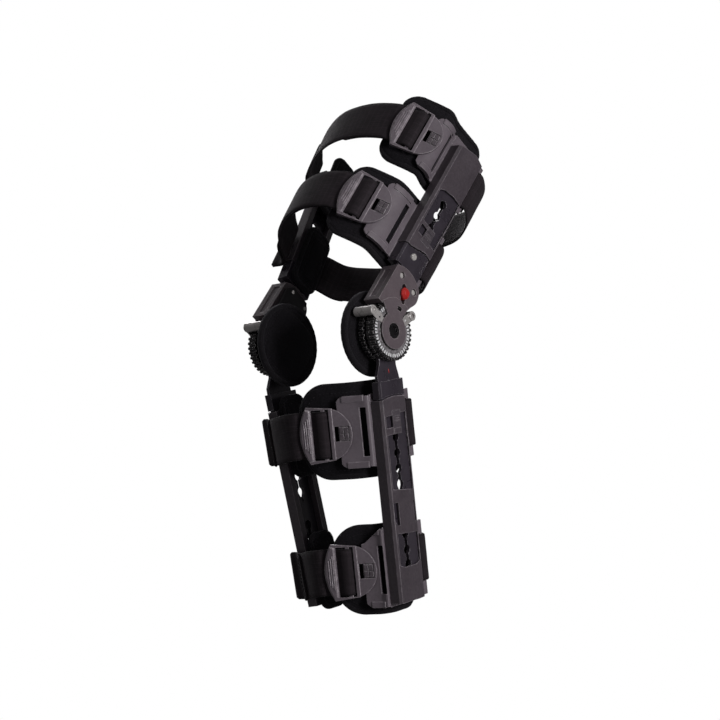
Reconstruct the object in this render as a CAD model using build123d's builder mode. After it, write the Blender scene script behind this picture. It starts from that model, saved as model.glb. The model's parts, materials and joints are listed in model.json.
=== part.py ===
from build123d import *
from math import atan2, cos, degrees, hypot, radians, sin, tan
from typing import NamedTuple
import os

# Hinged post-operative knee brace, left leg, shown with the knee bent.
# Frame: origin on the knee axis midway between the two hinges, +X lateral,
# -Y anterior, +Z up with the calf hanging along -Z.  Millimetres.
# Hinge parts are modelled on the lateral side and mirrored to the medial side.

# ---- driving dimensions ------------------------------------------------------
knee_flexion = 46.0          # bend of the knee in the modelled pose, degrees
calf_taper = 4.0             # calf upright leans inward going down, degrees
thigh_flare = 6.5            # thigh upright leans outward going up, degrees
bend_u = 60.0                # distance from the knee axis to each bend
calf_face_x = 83.5           # outer face of the calf shell at the bend
thigh_face_x = 87.0          # outer face of the thigh shell at the bend
upright_shift = 5.0          # calf upright's centre line, forward of the knee axis
thigh_shift = 12.0           # thigh upright's centre line, forward of the thigh axis

shell_width = 43.0
shell_depth = 15.0
shell_wall = 2.2
collar_inset = 0.6           # collars are this much smaller than the shells
bar_width = 36.0
bar_corner_r = 5.0
bar_out, bar_in = -3.4, -7.2  # bar faces, measured from the shell's outer face
keyhole_r = 5.0
keyhole_neck = 4.6           # width of the slot joining the keyhole circles

dial_r = 31.5
dial_teeth = 36
scale_in_r, scale_out_r = 20.2, 28.2
hub_r = 8.2
shaft_r = 4.0
rivet_r = 2.0
rivet_hole_r = 2.02
rivet_spots = ((60.3, 20.0), (56.9, -4.6))  # (along, forward) on the thigh

strap_width = 50.8
strap_thickness = 2.4

# ---- X stations of the hinge stack -------------------------------------------
hinge_face_x = 93.0          # outer face of the hub cover
house_in_x, house_out_x = 70.6, 91.6
outer_dial_x0, outer_dial_x1 = 80.4, 90.3
inner_dial_x0, inner_dial_x1 = 70.4, 76.0
inner_plate_x = 66.2
scale_thickness = 0.5

# ---- values that follow ------------------------------------------------------
bar_thickness = bar_out - bar_in
# shell edges across the calf upright, rearward of the knee axis
shell_front = -upright_shift - shell_width / 2
shell_rear = -upright_shift + shell_width / 2
bar_front = -upright_shift - bar_width / 2
bar_rear = -upright_shift + bar_width / 2
keyhole_cut = bar_thickness + 1.0      # started 0.5 outside the bar, ends 0.5 past it
window_cut = 1 - bar_out               # from 1 outside the shell to the bar's face
collar_cut = window_cut - 0.01         # stops just short of the bar's face

os.makedirs("parts", exist_ok=True)

# ---- frames ------------------------------------------------------------------
# Every frame has x along the limb away from the knee and z outward (lateral).
# Local y points rearward on the calf and forward on the thigh.
flexion = radians(knee_flexion)
thigh_up = Vector(0, sin(flexion), cos(flexion))
lateral = Vector(1, 0, 0)
taper_cos, taper_sin = cos(radians(calf_taper)), sin(radians(calf_taper))
flare_cos, flare_sin = cos(radians(thigh_flare)), sin(radians(thigh_flare))

# flat frames: through the knee axis, for the hinge
calf_flat = Plane(origin=(0, 0, 0), x_dir=(0, 0, -1), z_dir=(1, 0, 0))
thigh_flat = Plane(origin=(0, 0, 0), x_dir=tuple(thigh_up), z_dir=(1, 0, 0))

# bar frames: leaning with each upright, z = 0 on the shell's outer face
calf_along = Vector(-taper_sin, 0, -taper_cos)
calf_out = Vector(taper_cos, 0, -taper_sin)
calf_bar = Plane(
    origin=tuple(Vector(calf_face_x, 0, -bend_u) - calf_along * bend_u),
    x_dir=tuple(calf_along), z_dir=tuple(calf_out))
thigh_along = thigh_up * flare_cos + lateral * flare_sin
thigh_out = lateral * flare_cos - thigh_up * flare_sin
thigh_bar = Plane(
    origin=tuple(lateral * thigh_face_x + thigh_up * bend_u - thigh_along * bend_u),
    x_dir=tuple(thigh_along), z_dir=tuple(thigh_out))


def across(frame, along):
    """Plane across a limb: local x is the frame's y, local y its outward normal."""
    return Plane(origin=tuple(frame.from_local_coords(Vector(along, 0, 0))),
                 x_dir=tuple(frame.y_dir), z_dir=tuple(frame.x_dir))


def local_y(frame, rearward):
    """Local y on either upright of a place given rearward on the calf upright."""
    return rearward if frame is calf_bar else thigh_shift - upright_shift - rearward


def forward_sign(frame):
    """Sign of the forward direction along a frame's local y."""
    return -1 if frame is calf_bar or frame is calf_flat else 1


def polar(radius, angle):
    """(along, forward) at an angle forward of the thigh axis."""
    return (radius * cos(radians(angle)), radius * sin(radians(angle)))


# ---- saving ------------------------------------------------------------------
def save(builder, name):
    builder.part.label = name
    export_step(builder.part, f"parts/{name}.step")


def save_mirrored(builder, name):
    with BuildPart() as other:
        mirror(builder.part, about=Plane.YZ)
    save(other, name)


def save_both(builder, stem):
    """One file for the lateral part and one for its medial mirror image."""
    save(builder, "lat_" + stem)
    save_mirrored(builder, "med_" + stem)


def save_pair(builder, name):
    """One file holding the part and its mirror image."""
    with BuildPart() as pair:
        add(builder.part)
        mirror(builder.part, about=Plane.YZ)
    save(pair, name)


# ---- toothed dials and scale -------------------------------------------------
scale_clearance = 0.2
tooth_gap = (4.2, 2.7)       # radial, tangential
rim_groove = 1.6


def dial(x0, x1, outer):
    with BuildPart() as disc:
        with BuildSketch(calf_flat.offset(x0)):
            Circle(dial_r)
            with PolarLocations(dial_r + 0.25, dial_teeth):
                Rectangle(*tooth_gap, mode=Mode.SUBTRACT)
            Circle(shaft_r + 0.02, mode=Mode.SUBTRACT)
        extrude(amount=x1 - x0)
        if outer:
            # shallow seat for the scale
            with BuildSketch(calf_flat.offset(x1)):
                Circle(scale_out_r + scale_clearance)
                Circle(scale_in_r - scale_clearance, mode=Mode.SUBTRACT)
            extrude(amount=-scale_thickness, mode=Mode.SUBTRACT)
            # groove round the middle of the rim
            with BuildSketch(calf_flat.offset((x0 + x1) / 2 - rim_groove / 2)):
                Circle(dial_r + 1)
                Circle(dial_r - 1.8, mode=Mode.SUBTRACT)
            extrude(amount=rim_groove, mode=Mode.SUBTRACT)
        else:
            # ring-shaped recess in the inner face
            with BuildSketch(calf_flat.offset(x0)):
                Circle(dial_r - 5)
                Circle(14, mode=Mode.SUBTRACT)
            extrude(amount=1.2, mode=Mode.SUBTRACT)
    return disc


save_both(dial(outer_dial_x0, outer_dial_x1, True), "outer_dial")
save_both(dial(inner_dial_x0, inner_dial_x1, False), "inner_dial")

with BuildPart() as scale_ring:
    with BuildSketch(calf_flat.offset(outer_dial_x1 - scale_thickness)):
        Circle(scale_out_r)
        Circle(scale_in_r, mode=Mode.SUBTRACT)
    extrude(amount=scale_thickness)
save_both(scale_ring, "scale_ring")


# ---- sections shared by the shells and collars -------------------------------
def shell_outline(frame, inset=0.0):
    """Faceted outer section of an upright shell, as (local y, outward)."""
    points = [
        (shell_front + inset, -shell_depth),
        (shell_front + inset, -2.6),
        (shell_front + 2.6, -inset),
        (4, -inset),
        (shell_rear - 1.6, -1.7 - inset),
        (shell_rear - inset, -4.2),
        (shell_rear - inset, -shell_depth),
    ]
    return [(local_y(frame, rearward), out) for rearward, out in points]


def collar_outline(frame, inner_face):
    """The inset shell section, closed at the collar's inner face."""
    return [
        *shell_outline(frame, collar_inset)[1:-1],
        (local_y(frame, shell_rear - collar_inset), inner_face),
        (local_y(frame, shell_front + collar_inset), inner_face),
    ]


# ---- lower arm: flat arm between the dials, bar and collar -------------------
lower_bar_start, lower_bar_end = 58, 262
# circle centres of each keyhole slot, along the bar
lower_keyholes = ([111.5, 128.3, 145.1, 161.9], [199.4, 215.8, 232.4, 247.8])
# (along, rearward): waisted under the dials, widening to the bar
arm_outline = [
    (0, -15), (32, -17), (44, bar_front - 0.5), (62, bar_front), (62, bar_rear),
    (47, 11.5), (36, 9.5), (28, 10.5), (0, 15),
]

with BuildPart() as lower_arm:
    with BuildSketch(calf_flat.offset(calf_face_x + bar_in)):
        Circle(26)
        with BuildLine():
            Polyline(*arm_outline, close=True)
        make_face()
        Circle(shaft_r + 0.02, mode=Mode.SUBTRACT)
    extrude(amount=bar_thickness)
    # bar leaning inward below the bend
    with BuildSketch(calf_bar.offset(bar_in)):
        with Locations(((lower_bar_start + lower_bar_end) / 2, -upright_shift)):
            RectangleRounded(lower_bar_end - lower_bar_start, bar_width, bar_corner_r)
    extrude(amount=bar_thickness)
    # keyhole slots; the upper one runs out to a point
    for row in lower_keyholes:
        with BuildSketch(calf_bar.offset(bar_out + 0.5)):
            for centre in row:
                with Locations((centre, -upright_shift)):
                    Circle(keyhole_r)
            with Locations(((row[0] + row[-1]) / 2, -upright_shift)):
                Rectangle(row[-1] - row[0], keyhole_neck)
            if row is lower_keyholes[0]:
                with BuildLine():
                    Polyline((row[-1] + 2, -4.4 - upright_shift),
                             (row[-1] + 12.5, -upright_shift),
                             (row[-1] + 2, 4.4 - upright_shift), close=True)
                make_face()
        extrude(amount=-keyhole_cut, mode=Mode.SUBTRACT)
    # collar round the arm above the shell
    with BuildSketch(across(calf_bar, 51)):
        with BuildLine():
            Polyline(*collar_outline(calf_bar, -11), close=True)
        make_face()
    extrude(amount=17.9)
    # arch the collar's lower edge to match the shell
    with BuildSketch(calf_bar.offset(1)):
        with BuildLine():
            Line((75, -30), (70.2, -30))
            ThreePointArc((70.2, -30), (66.4, -upright_shift), (70.2, 20))
            Line((70.2, 20), (75, 20))
            Line((75, 20), (75, -30))
        make_face()
    extrude(amount=-collar_cut, mode=Mode.SUBTRACT)
save_both(lower_arm, "lower_arm")

# ---- upper hinge housing -----------------------------------------------------
# Outlines on the thigh frame are (along, forward).
house_arc_r = 33.2           # housing's edge round the dials
lock_angle = 21.0            # the lock slot leans forward of the thigh axis
lock_centre = (44.0, 8.0)
rivet_seat_x = house_out_x - 2.3
tang_y = 14.5                # centre of the upper bar's tang, forward
cover_sector = [
    (0, 0), polar(35.5, -9), polar(35.5, 8), polar(36.4, 27), polar(35.5, 46),
    polar(35.0, 63),
]

with BuildPart() as housing:
    with BuildSketch(thigh_flat.offset(house_in_x)):
        with BuildLine():
            Line(polar(house_arc_r, 64), (14.5, 37.0))
            Line((14.5, 37.0), (65.5, 32.0))
            Spline((65.5, 32.0), (71.0, 18.5), (68.0, -3.5), (61.5, -11.5), (51, -13.8),
                   (38.5, -8.6), tangents=[(0.55, -0.85), (-0.9, 0.5)])
            Line((38.5, -8.6), polar(house_arc_r, -11))
            ThreePointArc(polar(house_arc_r, -11), polar(house_arc_r, 27),
                          polar(house_arc_r, 64))
        make_face()
    extrude(amount=house_out_x - house_in_x)
    # hub cover: a disc over the dial and the sector joining it to the housing
    with BuildSketch(thigh_flat.offset(house_out_x)):
        Circle(19.4)
        with BuildLine():
            Polyline(*cover_sector, close=True)
        make_face()
        Circle(hub_r + 0.3, mode=Mode.SUBTRACT)
        with Locations(Location((25.6, 5.6), 12)):
            Rectangle(4.6, 6.4, mode=Mode.SUBTRACT)
    extrude(amount=hinge_face_x - house_out_x)
    # lock slot
    with BuildSketch(thigh_flat.offset(hinge_face_x + 0.5)):
        with Locations(Location(lock_centre, lock_angle)):
            SlotOverall(23, 7.4)
    extrude(amount=-9.0, mode=Mode.SUBTRACT)
    # recesses for the rivet heads
    with BuildSketch(thigh_flat.offset(house_out_x + 0.5)):
        with Locations(*rivet_spots):
            Circle(3.9)
    extrude(amount=-(house_out_x + 0.5 - rivet_seat_x), mode=Mode.SUBTRACT)
    # through holes for the rivet shanks
    with BuildSketch(thigh_flat.offset(house_out_x)):
        with Locations(*rivet_spots):
            Circle(rivet_hole_r)
    extrude(amount=-(house_out_x - house_in_x), mode=Mode.SUBTRACT)
    # pocket for the tang of the upper bar
    with BuildSketch(thigh_flat.offset(thigh_face_x + bar_in - 0.1)):
        with Locations((58.5, tang_y)):
            Rectangle(33.2, 25.2)
    extrude(amount=bar_thickness + 0.2 + 1.6, mode=Mode.SUBTRACT)
    # groove along the front wall
    with BuildSketch(thigh_flat.offset(76.0)):
        with BuildLine():
            Polyline((20, 38.5), (60, 34.5), (60, 31.6), (20, 35.6), close=True)
        make_face()
    extrude(amount=9, mode=Mode.SUBTRACT)
save_both(housing, "upper_housing")

# ---- inner plate -------------------------------------------------------------
inner_plate_outline = [
    (0, -16), (22, -6.5), (52, -8.5), (64, -4), (66, 22), (58, 30), (16, 30), (0, 20),
]

with BuildPart() as inner_plate:
    with BuildSketch(thigh_flat.offset(inner_plate_x)):
        Circle(22)
        with BuildLine():
            Polyline(*inner_plate_outline, close=True)
        make_face()
        Circle(shaft_r + 0.06, mode=Mode.SUBTRACT)
        with Locations(*rivet_spots):
            Circle(rivet_hole_r, mode=Mode.SUBTRACT)
    extrude(amount=4.0)
save_both(inner_plate, "inner_plate")

# ---- upper bar: tang, bar and collar -----------------------------------------
upper_bar_start, upper_bar_end = 71.5, 224
upper_keyholes = ([118.0, 134.6, 151.2, 167.8], [190.0, 206.4])
collar_rivet = (90.8, 15.0)

with BuildPart() as upper_bar:
    # flat tang inside the housing
    with BuildSketch(thigh_flat.offset(thigh_face_x + bar_in)):
        with Locations((57, tang_y)):
            Rectangle(30, 25)
        with Locations(rivet_spots[0]):
            Circle(rivet_hole_r, mode=Mode.SUBTRACT)
    extrude(amount=bar_thickness)
    # bar leaning outward above the bend
    with BuildSketch(thigh_bar.offset(bar_in)):
        with Locations(((upper_bar_start + upper_bar_end) / 2, thigh_shift)):
            RectangleRounded(upper_bar_end - upper_bar_start, bar_width, bar_corner_r)
    extrude(amount=bar_thickness)
    for row in upper_keyholes:
        with BuildSketch(thigh_bar.offset(bar_out + 0.5)):
            for centre in row:
                with Locations((centre, thigh_shift)):
                    Circle(keyhole_r)
            with Locations(((row[0] + row[-1]) / 2, thigh_shift)):
                Rectangle(row[-1] - row[0], keyhole_neck)
        extrude(amount=-keyhole_cut, mode=Mode.SUBTRACT)
    # collar between housing and shell
    with BuildSketch(across(thigh_bar, 72.5)):
        with BuildLine():
            Polyline(*collar_outline(thigh_bar, -shell_depth), close=True)
        make_face()
    extrude(amount=32)
    # slant the collar's top edge: first outside the bar, then inside, then each side
    with BuildSketch(thigh_bar.offset(1)):
        with BuildLine():
            Polyline((96.5, 40), (96.5, 26), (103.6, 4), (103.6, -14), (112, -14), (112, 40),
                     close=True)
        make_face()
    extrude(amount=-collar_cut, mode=Mode.SUBTRACT)
    with BuildSketch(thigh_bar.offset(bar_in - 0.01)):
        with Locations((101.5, thigh_shift)):
            Rectangle(10, 60)
    extrude(amount=-12, mode=Mode.SUBTRACT)
    for side in (1, -1):
        with BuildSketch(thigh_bar.offset(1)):
            with Locations((102, thigh_shift + side * (bar_width / 2 + 6))):
                Rectangle(11, 12)
        extrude(amount=-17, mode=Mode.SUBTRACT)
    # curved lower edge following the housing
    with BuildSketch(thigh_bar.offset(3)):
        with BuildLine():
            Line((60, 36), (67.6, 34.5))
            ThreePointArc((67.6, 34.5), (72.9, 14), (68.5, -6))
            Line((68.5, -6), (60, -6))
            Line((60, -6), (60, 36))
        make_face()
    extrude(amount=-6.0, mode=Mode.SUBTRACT)
    # narrow slot near the rear edge
    with BuildSketch(thigh_bar.offset(1)):
        with Locations((92, -3.6)):
            Rectangle(16, 2.6)
    extrude(amount=-4.0, mode=Mode.SUBTRACT)
    # hole for the collar rivet
    with BuildSketch(thigh_bar.offset(1)):
        with Locations(collar_rivet):
            Circle(2.52)
    extrude(amount=-17, mode=Mode.SUBTRACT)
save_both(upper_bar, "upper_bar")

# ---- rivets ------------------------------------------------------------------
with BuildPart() as rivets:
    # two shouldered rivets through the housing and inner plate
    for spot in rivet_spots:
        with BuildSketch(thigh_flat.offset(inner_plate_x)):
            with Locations(spot):
                Circle(rivet_r)
        extrude(amount=rivet_seat_x - inner_plate_x)
        with BuildSketch(thigh_flat.offset(rivet_seat_x)):
            with Locations(spot):
                Circle(3.1)
        extrude(amount=1.1, taper=20)
    # rivet with a tapered head on the collar
    with BuildSketch(thigh_bar.offset(-14.8)):
        with Locations(collar_rivet):
            Circle(2.5)
    extrude(amount=14.7)
    with BuildSketch(thigh_bar.offset(-0.55)):
        with Locations(collar_rivet):
            Circle(4.0)
    extrude(amount=1.5, taper=22)
save_pair(rivets, "housing_rivets")

# ---- pivot bolts -------------------------------------------------------------
bolt_x = 64.7                # inner end
bolt_foot = 1.4              # thickness of the inner flange

with BuildPart() as bolt:
    with BuildSketch(calf_flat.offset(bolt_x)):
        Circle(8)
    extrude(amount=bolt_foot)
    with BuildSketch(calf_flat.offset(bolt_x + bolt_foot)):
        Circle(shaft_r)
    extrude(amount=25)
    with BuildSketch(calf_flat.offset(outer_dial_x1)):
        Circle(hub_r)
    extrude(amount=2.5)
    # hexagonal drive recess
    with BuildSketch(calf_flat.offset(92.9)):
        RegularPolygon(5.4, 6)
    extrude(amount=-1.9, mode=Mode.SUBTRACT)
    chamfer(bolt.faces().sort_by(Axis.X)[-1].outer_wire().edges(), 0.5)
save_pair(bolt, "pivot_bolts")

# ---- range stops: barrel and pointer arm carried on a ring round the hub -----
stop_barrel_r = 5.2
stop_ring_r = 37.0           # barrel centre from the knee axis
stop_x = 67.4                # inner end of the barrel
# (radius, angle from the stop's own direction)
pointer_outline = [
    (12, -24), (20, -9), (26, -11), (39, -7), (39, 7), (26, 11), (20, 9), (12, 24),
]


def range_stop(angle, x0, x1):
    """Stop at an angle forward of the thigh axis, its pointer arm from x0 to x1."""
    with BuildPart() as stop:
        with BuildSketch(thigh_flat.offset(stop_x)):
            with Locations(polar(stop_ring_r, angle)):
                Circle(stop_barrel_r)
        extrude(amount=25.2)
        chamfer(stop.edges().filter_by(GeomType.CIRCLE), 0.7)
        # blind hole in the outer end
        with BuildSketch(thigh_flat.offset(93)):
            with Locations(polar(stop_ring_r, angle)):
                Circle(2.6)
        extrude(amount=-3.2, mode=Mode.SUBTRACT)
        # ring and pointer arm over the scale
        with BuildSketch(thigh_flat.offset(x0)):
            Circle(13)
            with BuildLine():
                Polyline(*[polar(radius, angle + turn) for radius, turn in pointer_outline],
                         close=True)
            make_face()
            Circle(hub_r + 0.08, mode=Mode.SUBTRACT)
            with Locations(polar(25, angle)):
                Circle(1.5, mode=Mode.SUBTRACT)
        extrude(amount=x1 - x0)
    return stop


save_both(range_stop(92.0, 90.95, 91.45), "extension_stop")
save_both(range_stop(-25.0, 90.4, 90.85), "flexion_stop")

# ---- hinge lock: shank in the housing's slot and an octagonal knob -----------
lock_x = 85.6                # inner end of the shank
lock_shank = 7.5
lock_slide = polar(0.5, lock_angle)  # lock's place from the slot's centre
lock_spot = (lock_centre[0] + lock_slide[0], lock_centre[1] + lock_slide[1])

with BuildPart() as lock:
    with BuildSketch(thigh_flat.offset(lock_x)):
        with Locations(Location(lock_spot, lock_angle)):
            SlotOverall(13.5, 6.6)
    extrude(amount=lock_shank)
    with BuildSketch(thigh_flat.offset(lock_x + lock_shank)):
        with Locations(Location(lock_spot, lock_angle)):
            RegularPolygon(radius=6.6, side_count=8, rotation=22.5)
    extrude(amount=4.0)
    chamfer(lock.faces().sort_by(Axis.X)[-1].edges(), 2.6)
save_both(lock, "hinge_lock")

# ---- condyle pads ------------------------------------------------------------
condyle_thickness = 8.4
condyle_ring = 1.8           # ring between the pad and the inner plate
condyle_face_x = inner_plate_x - condyle_ring

with BuildPart() as condyle:
    with BuildSketch(thigh_flat.offset(condyle_face_x - condyle_thickness)):
        Circle(45.5)
    extrude(amount=condyle_thickness)
    fillet(condyle.edges().filter_by(GeomType.CIRCLE), 3.4)
    with BuildSketch(thigh_flat.offset(condyle_face_x)):
        Circle(21)
        Circle(10, mode=Mode.SUBTRACT)
    extrude(amount=condyle_ring)
save_both(condyle, "condyle_pad")

# ---- telescoping shells ------------------------------------------------------
# Windows through the outer wall: outlines of (along, rearward on the calf upright).
calf_windows = [
    # in front of the length button, behind it, and the button's own opening
    [(88, -21.5), (100.5, -21.5), (100.5, -10.4), (88, -10.4)],
    [(86.5, 2.2), (112, 2.2), (112, 12.8), (86.5, 12.8)],
    [(83, -10.9), (108.5, -10.9), (108.5, 2.7), (83, 2.7)],
    # over the first keyhole slot
    [(108, -21.5), (165.5, -21.5), (170.0, 13.5), (115, 13.5), (108, 8)],
    # front and rear of the bridge
    [(180, -23.4), (199, -23.4), (204.5, -19), (204.5, -15.4), (180, -15.4)],
    [(182, 10.5), (182, 14.2), (203, 14.2), (205.5, 10.5)],
    # over the second keyhole slot
    [(213, -21.5), (247, -21.5), (249.5, -14), (249.5, 6), (246, 13.5), (216, 13.5)],
]
thigh_windows = [
    # the length button's own opening, in front of it, and behind it
    [(112, -10.9), (133, -10.9), (133, 2.7), (112, 2.7)],
    [(117, -20.5), (128, -20.5), (128, -10.4), (117, -10.4)],
    [(117, 2.2), (140, 2.2), (140, 12.8), (117, 12.8)],
    # over the keyhole slot
    [(132.5, -21.5), (176, -21.5), (180, -15), (183, 0), (183, 13.5), (139, 13.5),
     (132.5, 8)],
]
calf_shell_end = 287.0


def window(frame, outline):
    """Cut one window in the shell being built."""
    with BuildSketch(frame.offset(1)) as opening:
        with BuildLine():
            Polyline(*[(along, local_y(frame, rearward)) for along, rearward in outline],
                     close=True)
        make_face()
    extrude(opening.sketch, amount=-window_cut, mode=Mode.SUBTRACT)


def channel(frame, start, end):
    """Shell body: faceted outside, a channel for the bar, open at the back."""
    floor = bar_in - 0.4
    below = -shell_depth - 1
    bar_channel = [(-24, floor), (-24, -shell_wall), (4, -shell_wall), (14, -3.1), (14, floor)]
    back_opening = [(-19, below), (-19, bar_in), (9, bar_in), (9, below)]
    with BuildSketch(across(frame, start)) as profile:
        with BuildLine():
            Polyline(*shell_outline(frame), close=True)
        make_face()
        for outline in (bar_channel, back_opening):
            with BuildLine():
                Polyline(*[(local_y(frame, rearward), out) for rearward, out in outline],
                         close=True)
            make_face(mode=Mode.SUBTRACT)
    extrude(profile.sketch, amount=end - start)


with BuildPart() as calf_shell:
    channel(calf_bar, 67.0, calf_shell_end)
    # arched top edge
    with BuildSketch(calf_bar.offset(1)):
        with BuildLine():
            Line((60, -30), (71.8, -30))
            ThreePointArc((71.8, -30), (68.0, -upright_shift), (71.8, 20))
            Line((71.8, 20), (60, 20))
            Line((60, 20), (60, -30))
        make_face()
    extrude(amount=-20, mode=Mode.SUBTRACT)
    for outline in calf_windows:
        window(calf_bar, outline)
    # shallow notch in the outer face at the lower end
    with BuildSketch(across(calf_bar, calf_shell_end - 0.5)):
        with BuildLine():
            Polyline((-13, 0.5), (-13, -0.5), (-1, -0.5), (-1, 0.5), close=True)
        make_face()
    extrude(amount=2, mode=Mode.SUBTRACT)
save_both(calf_shell, "calf_shell")

with BuildPart() as thigh_shell:
    channel(thigh_bar, 95.0, 246.0)
    # slanted lower edge
    with BuildSketch(thigh_bar.offset(1)):
        with BuildLine():
            Polyline((90, 40), (98.0, 40), (98.0, 26.5), (105.3, 4.2), (105.3, -14),
                     (90, -14), close=True)
        make_face()
    extrude(amount=-20, mode=Mode.SUBTRACT)
    # slanted top edge
    with BuildSketch(thigh_bar.offset(1)):
        with BuildLine():
            Polyline((236.5, 40), (236.5, 33), (243.5, 8), (241.0, -10.5), (241.0, -14),
                     (250, -14), (250, 40), close=True)
        make_face()
    extrude(amount=-20, mode=Mode.SUBTRACT)
    for outline in thigh_windows:
        window(thigh_bar, outline)
save_both(thigh_shell, "thigh_shell")


# ---- length-release buttons --------------------------------------------------
def length_button(frame, start, end):
    """Plate with a raised foot at its far end and three ribs at its knee end."""
    middle = local_y(frame, -4.1)
    with BuildPart() as button:
        with BuildSketch(frame.offset(-1.8)):
            with Locations(((start + end) / 2, middle)):
                Rectangle(end - start, 12.8)
        extrude(amount=1.75)
        with BuildSketch(frame.offset(-0.05)):
            with Locations((end - 3.5, middle)):
                Rectangle(5, 11)
        extrude(amount=0.7)
        with BuildSketch(frame.offset(-0.06)):
            with Locations((start + 6, middle), (start + 8.5, middle), (start + 11, middle)):
                Rectangle(1.0, 9)
        extrude(amount=0.55)
    return button


save_both(length_button(calf_bar, 83.4, 108.0), "calf_button")
save_both(length_button(thigh_bar, 112.4, 132.4), "thigh_button")


# ---- strap levels ------------------------------------------------------------
class Level(NamedTuple):
    """One strap level. Spans lie along the upright; points are (forward, X)."""
    name: str
    frame: Plane              # leaning frame of the upright
    flat: Plane               # flat frame the straps follow
    station: float            # buckle and front strap, along the upright
    wing: tuple               # span of the cuff
    pad: tuple                # span of the foam pad
    latch_tip: tuple          # buckle's end near the upright
    buckle_end: tuple         # a point further along the buckle
    pad_end: tuple
    rear_shift: float         # rear strap's middle, beyond the cuff's middle
    front_strap: list         # from the buckle round to the inner side
    rear_strap: list          # from the rear wing round to the inner side
    wing_sink: float = 0.3    # how far the wing's curve stays inside the buckle's plane
    pointed_corner: bool = False  # the cuff's corner nearest the knee is cut to a slant

    @property
    def wing_middle(self):
        return (self.wing[0] + self.wing[1]) / 2


levels = [
    Level("calf_upper", calf_bar, calf_flat, station=102, wing=(63, 140), pad=(50, 155),
          latch_tip=(36, 48), buckle_end=(62.3, -1.4), pad_end=(51, -8), rear_shift=8,
          front_strap=[(67.2, -6.5), (67.5, -22), (59, -46), (42, -63), (31.5, -73),
                       (29.3, -84.5)],
          rear_strap=[(-43, 66), (-50, 54), (-54, 34), (-55, 0), (-54, -34), (-47, -54),
                      (-30, -67), (-19.6, -76)]),
    Level("calf_lower", calf_bar, calf_flat, station=250, wing=(206, 291), pad=(203, 306),
          latch_tip=(28.6, 46), buckle_end=(54.9, -3.4), pad_end=(44, -8), rear_shift=0,
          front_strap=[(59.5, -8.5), (59.0, -22), (49, -43), (36, -55.5), (30.2, -63),
                       (29.3, -74.5)],
          rear_strap=[(-43, 54), (-50, 42), (-55, 22), (-57, 0), (-54, -24), (-43, -44),
                      (-28, -56), (-19.6, -66)],
          wing_sink=1.4, pointed_corner=True),
    Level("thigh_lower", thigh_bar, thigh_flat, station=113.5, wing=(77, 150), pad=(68, 158),
          latch_tip=(61, 79.5), buckle_end=(98, 41.5), pad_end=(92, 36), rear_shift=10,
          front_strap=[(104, 35.5), (109.5, 10), (106, -20), (88, -50), (60, -70), (41, -80),
                       (36.6, -88), (36.2, -99)],
          rear_strap=[(-26, 80), (-38, 68), (-46, 44), (-49, 0), (-46, -44), (-37, -70),
                      (-22, -81), (-12.6, -88)]),
    Level("thigh_upper", thigh_bar, thigh_flat, station=219.5, wing=(183, 252),
          pad=(178, 264), latch_tip=(51.5, 98.5), buckle_end=(90.5, 62.5), pad_end=(84, 56),
          rear_shift=0,
          front_strap=[(96.5, 56), (104, 22), (102.5, -16), (90, -46), (68, -74), (47, -90),
                       (37.5, -97.5), (36.2, -110)],
          rear_strap=[(-26, 90), (-46, 80), (-68, 50), (-76, 0), (-68, -50), (-46, -80),
                      (-24, -93), (-12.6, -101)]),
]

cuff_middle = -shell_depth - 1.5   # mid-thickness of the cuff, from the shell's face
cuff_half = 1.3                    # half the cuff's thickness
rim_width, rim_half = 6.5, 2.4     # raised rims along the front wing's edges
pad_thickness = 7.0
pad_gap = 4.2                      # cuff's middle to the pad's outer face
# rear wing, as (distance behind the shell's rear edge, outward from the cuff's middle)
calf_rear_wing = [(-2, -0.1), (11, -0.1), (22, -1.2)]
thigh_rear_wing = [(-2, -0.1), (6, 0.6), (13, 0.2)]


def ribbon(plane, points, half, length):
    """Add a band following a curve, half the thickness to each side of it."""
    left, right = [], []
    for i, (x, y) in enumerate(points):
        before = points[max(0, i - 1)]
        after = points[min(len(points) - 1, i + 1)]
        dx, dy = after[0] - before[0], after[1] - before[1]
        reach = hypot(dx, dy)
        normal_x, normal_y = -dy / reach, dx / reach
        left.append((x + normal_x * half, y + normal_y * half))
        right.append((x - normal_x * half, y - normal_y * half))
    with BuildSketch(plane) as band:
        with BuildLine():
            Spline(*left)
            Line(left[-1], right[-1])
            Spline(*right[::-1])
            Line(right[0], left[0])
        make_face()
    extrude(band.sketch, amount=length)


def section_point(level, point):
    """(local y, outward) in the upright's section at the level, from (forward, X)."""
    forward, x = point
    beyond_bend = level.station - bend_u
    if level.frame is calf_bar:
        face_x = calf_face_x - tan(radians(calf_taper)) * beyond_bend
        return (-forward, (x - face_x) * taper_cos)
    face_x = thigh_face_x + tan(radians(thigh_flare)) * beyond_bend
    return (forward, (x - face_x) * flare_cos)


def shell_edges(frame):
    """Local y of the shell's front and rear edges."""
    return local_y(frame, shell_front), local_y(frame, shell_rear)


def buckle_run(level):
    """Latch tip in the section, and the unit direction from it along the buckle."""
    tip = section_point(level, level.latch_tip)
    end = section_point(level, level.buckle_end)
    return tip, Vector(end[0] - tip[0], end[1] - tip[1], 0).normalized()


def buckle_plane(level):
    """Origin at the tip of the latch plate, x along the strap, z outward."""
    tip, run = buckle_run(level)
    section_plane = across(level.frame, level.station)
    origin = section_plane.from_local_coords(Vector(tip[0], tip[1], 0))
    along = section_plane.x_dir * run.X + section_plane.y_dir * run.Y
    outward = along.cross(section_plane.z_dir)
    if outward.dot(lateral) < 0:
        outward = outward * -1
    return Plane(origin=tuple(origin), x_dir=tuple(along), z_dir=tuple(outward))


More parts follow.
